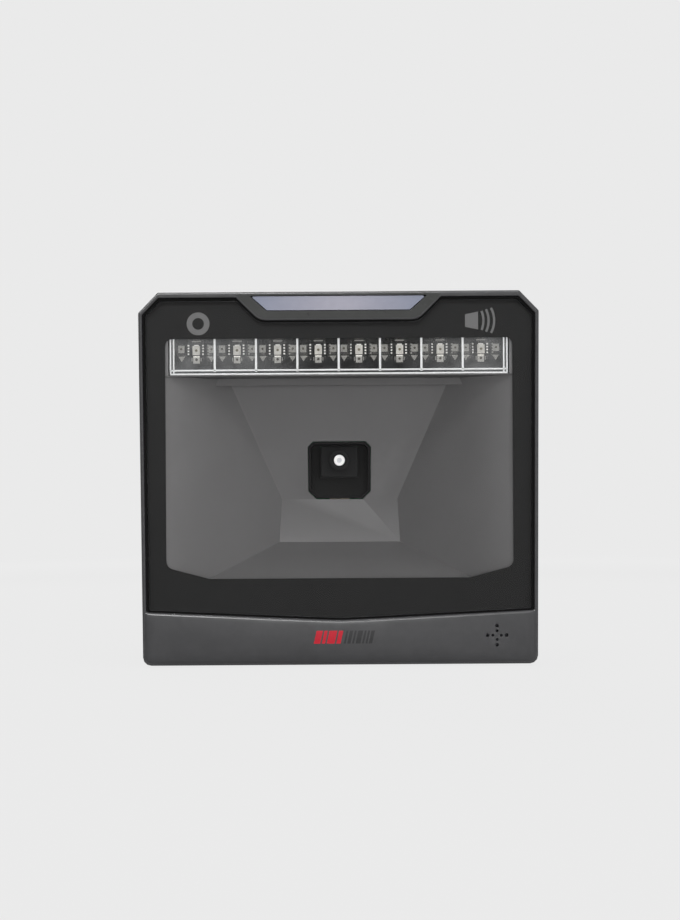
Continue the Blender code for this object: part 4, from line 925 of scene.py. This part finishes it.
def sky():
    """A plain pale background for the camera, and a weaker even light for the object."""
    world = bpy.data.worlds.new("studio")
    world.use_nodes = True
    bpy.context.scene.world = world
    tree = world.node_tree
    shown = tree.nodes["Background"]
    shown.inputs["Color"].default_value = (BACKGROUND, BACKGROUND, BACKGROUND, 1.0)
    soft = tree.nodes.new("ShaderNodeBackground")
    soft.inputs["Color"].default_value = (1.0, 1.0, 1.0, 1.0)
    soft.inputs["Strength"].default_value = 0.3
    path = tree.nodes.new("ShaderNodeLightPath")
    choice = tree.nodes.new("ShaderNodeMixShader")
    tree.links.new(path.outputs["Is Camera Ray"], choice.inputs[0])
    tree.links.new(soft.outputs[0], choice.inputs[1])
    tree.links.new(shown.outputs[0], choice.inputs[2])
    tree.links.new(choice.outputs[0], tree.nodes["World Output"].inputs["Surface"])


def lights():
    """Three soft panels in front and above, one behind, and a strip for the edge highlights."""
    chin, middle, upper, top = ((0.0, 0.0, height) for height in (0.03, 0.07, 0.09, 0.1))
    area_light("key", (0.85, -1.25, 0.58), middle, (2.0, 1.6), 16.5, glossy=False)
    area_light("fill", (0.05, -1.1, 0.07), upper, (0.6, 0.12), 5.8, glossy=False)
    area_light("top", (0.0, -0.15, 1.4), top, (1.3, 0.9), 9.5)
    strip = area_light("strip", (-0.4, -1.0, 0.95), chin, (0.9, 0.15), 30.0)
    strip.visible_diffuse = False
    area_light("back", (-0.5, 1.3, 0.8), middle, (1.2, 1.0), 13.0)


def paper_floor():
    """Pale paper that catches a soft shadow near the object and fades into the background."""
    bm = bmesh.new()
    bmesh.ops.create_grid(bm, x_segments=1, y_segments=1, size=6.0)
    floor = bpy.data.objects.new("floor", from_bmesh(bm, "floor"))
    bpy.context.scene.collection.objects.link(floor)
    n = Nodes("floor_paper")
    n.shader.inputs["Roughness"].default_value = 0.9
    n.shader.inputs["Specular IOR Level"].default_value = 0.0
    grain = n.noise(300.0, 3.0)
    paper = n.mix(grain, (0.026, 0.026, 0.026), (0.028, 0.028, 0.028))
    distance = n.add("ShaderNodeVectorMath", operation="LENGTH")
    n.link(n.add("ShaderNodeNewGeometry").outputs["Position"], distance.inputs[0])
    far = n.spread(distance.outputs["Value"], 0.0, 1.0, 0.45, 0.85)
    n.link(n.mix(far, paper, (0.0, 0.0, 0.0)), n.shader.inputs["Base Color"])
    n.shader.inputs["Emission Color"].default_value = (1.0, 1.0, 1.0, 1.0)
    n.link(n.spread(far, PAPER_GLOW, BACKGROUND), n.shader.inputs["Emission Strength"])
    floor.data.materials.append(n.material)
    floor.visible_glossy = False
    floor.visible_diffuse = False


def camera():
    """A level camera straight in front of the window, rolled a little."""
    data = bpy.data.cameras.new("camera")
    data.lens = 62.7
    data.sensor_width = 36.0
    data.shift_x = 0.0006
    data.shift_y = 0.0198
    data.clip_start = 0.01
    holder = bpy.data.objects.new("camera", data)
    holder.location = (0.0, -0.6367, 0.0707)
    holder.rotation_euler = (math.pi / 2, math.radians(0.37), 0.0)
    bpy.context.scene.collection.objects.link(holder)
    bpy.context.scene.camera = holder
    bpy.context.scene.view_settings.view_transform = "Standard"


finish_cad_nodes()
window_icons()
window_shadow_strip()
status_bezel()
lamp_ribs()
lamp_board_parts()
baffle_surround()
camera_details()
chin_mark()
socket_contacts()
label_print()
sky()
lights()
paper_floor()
camera()
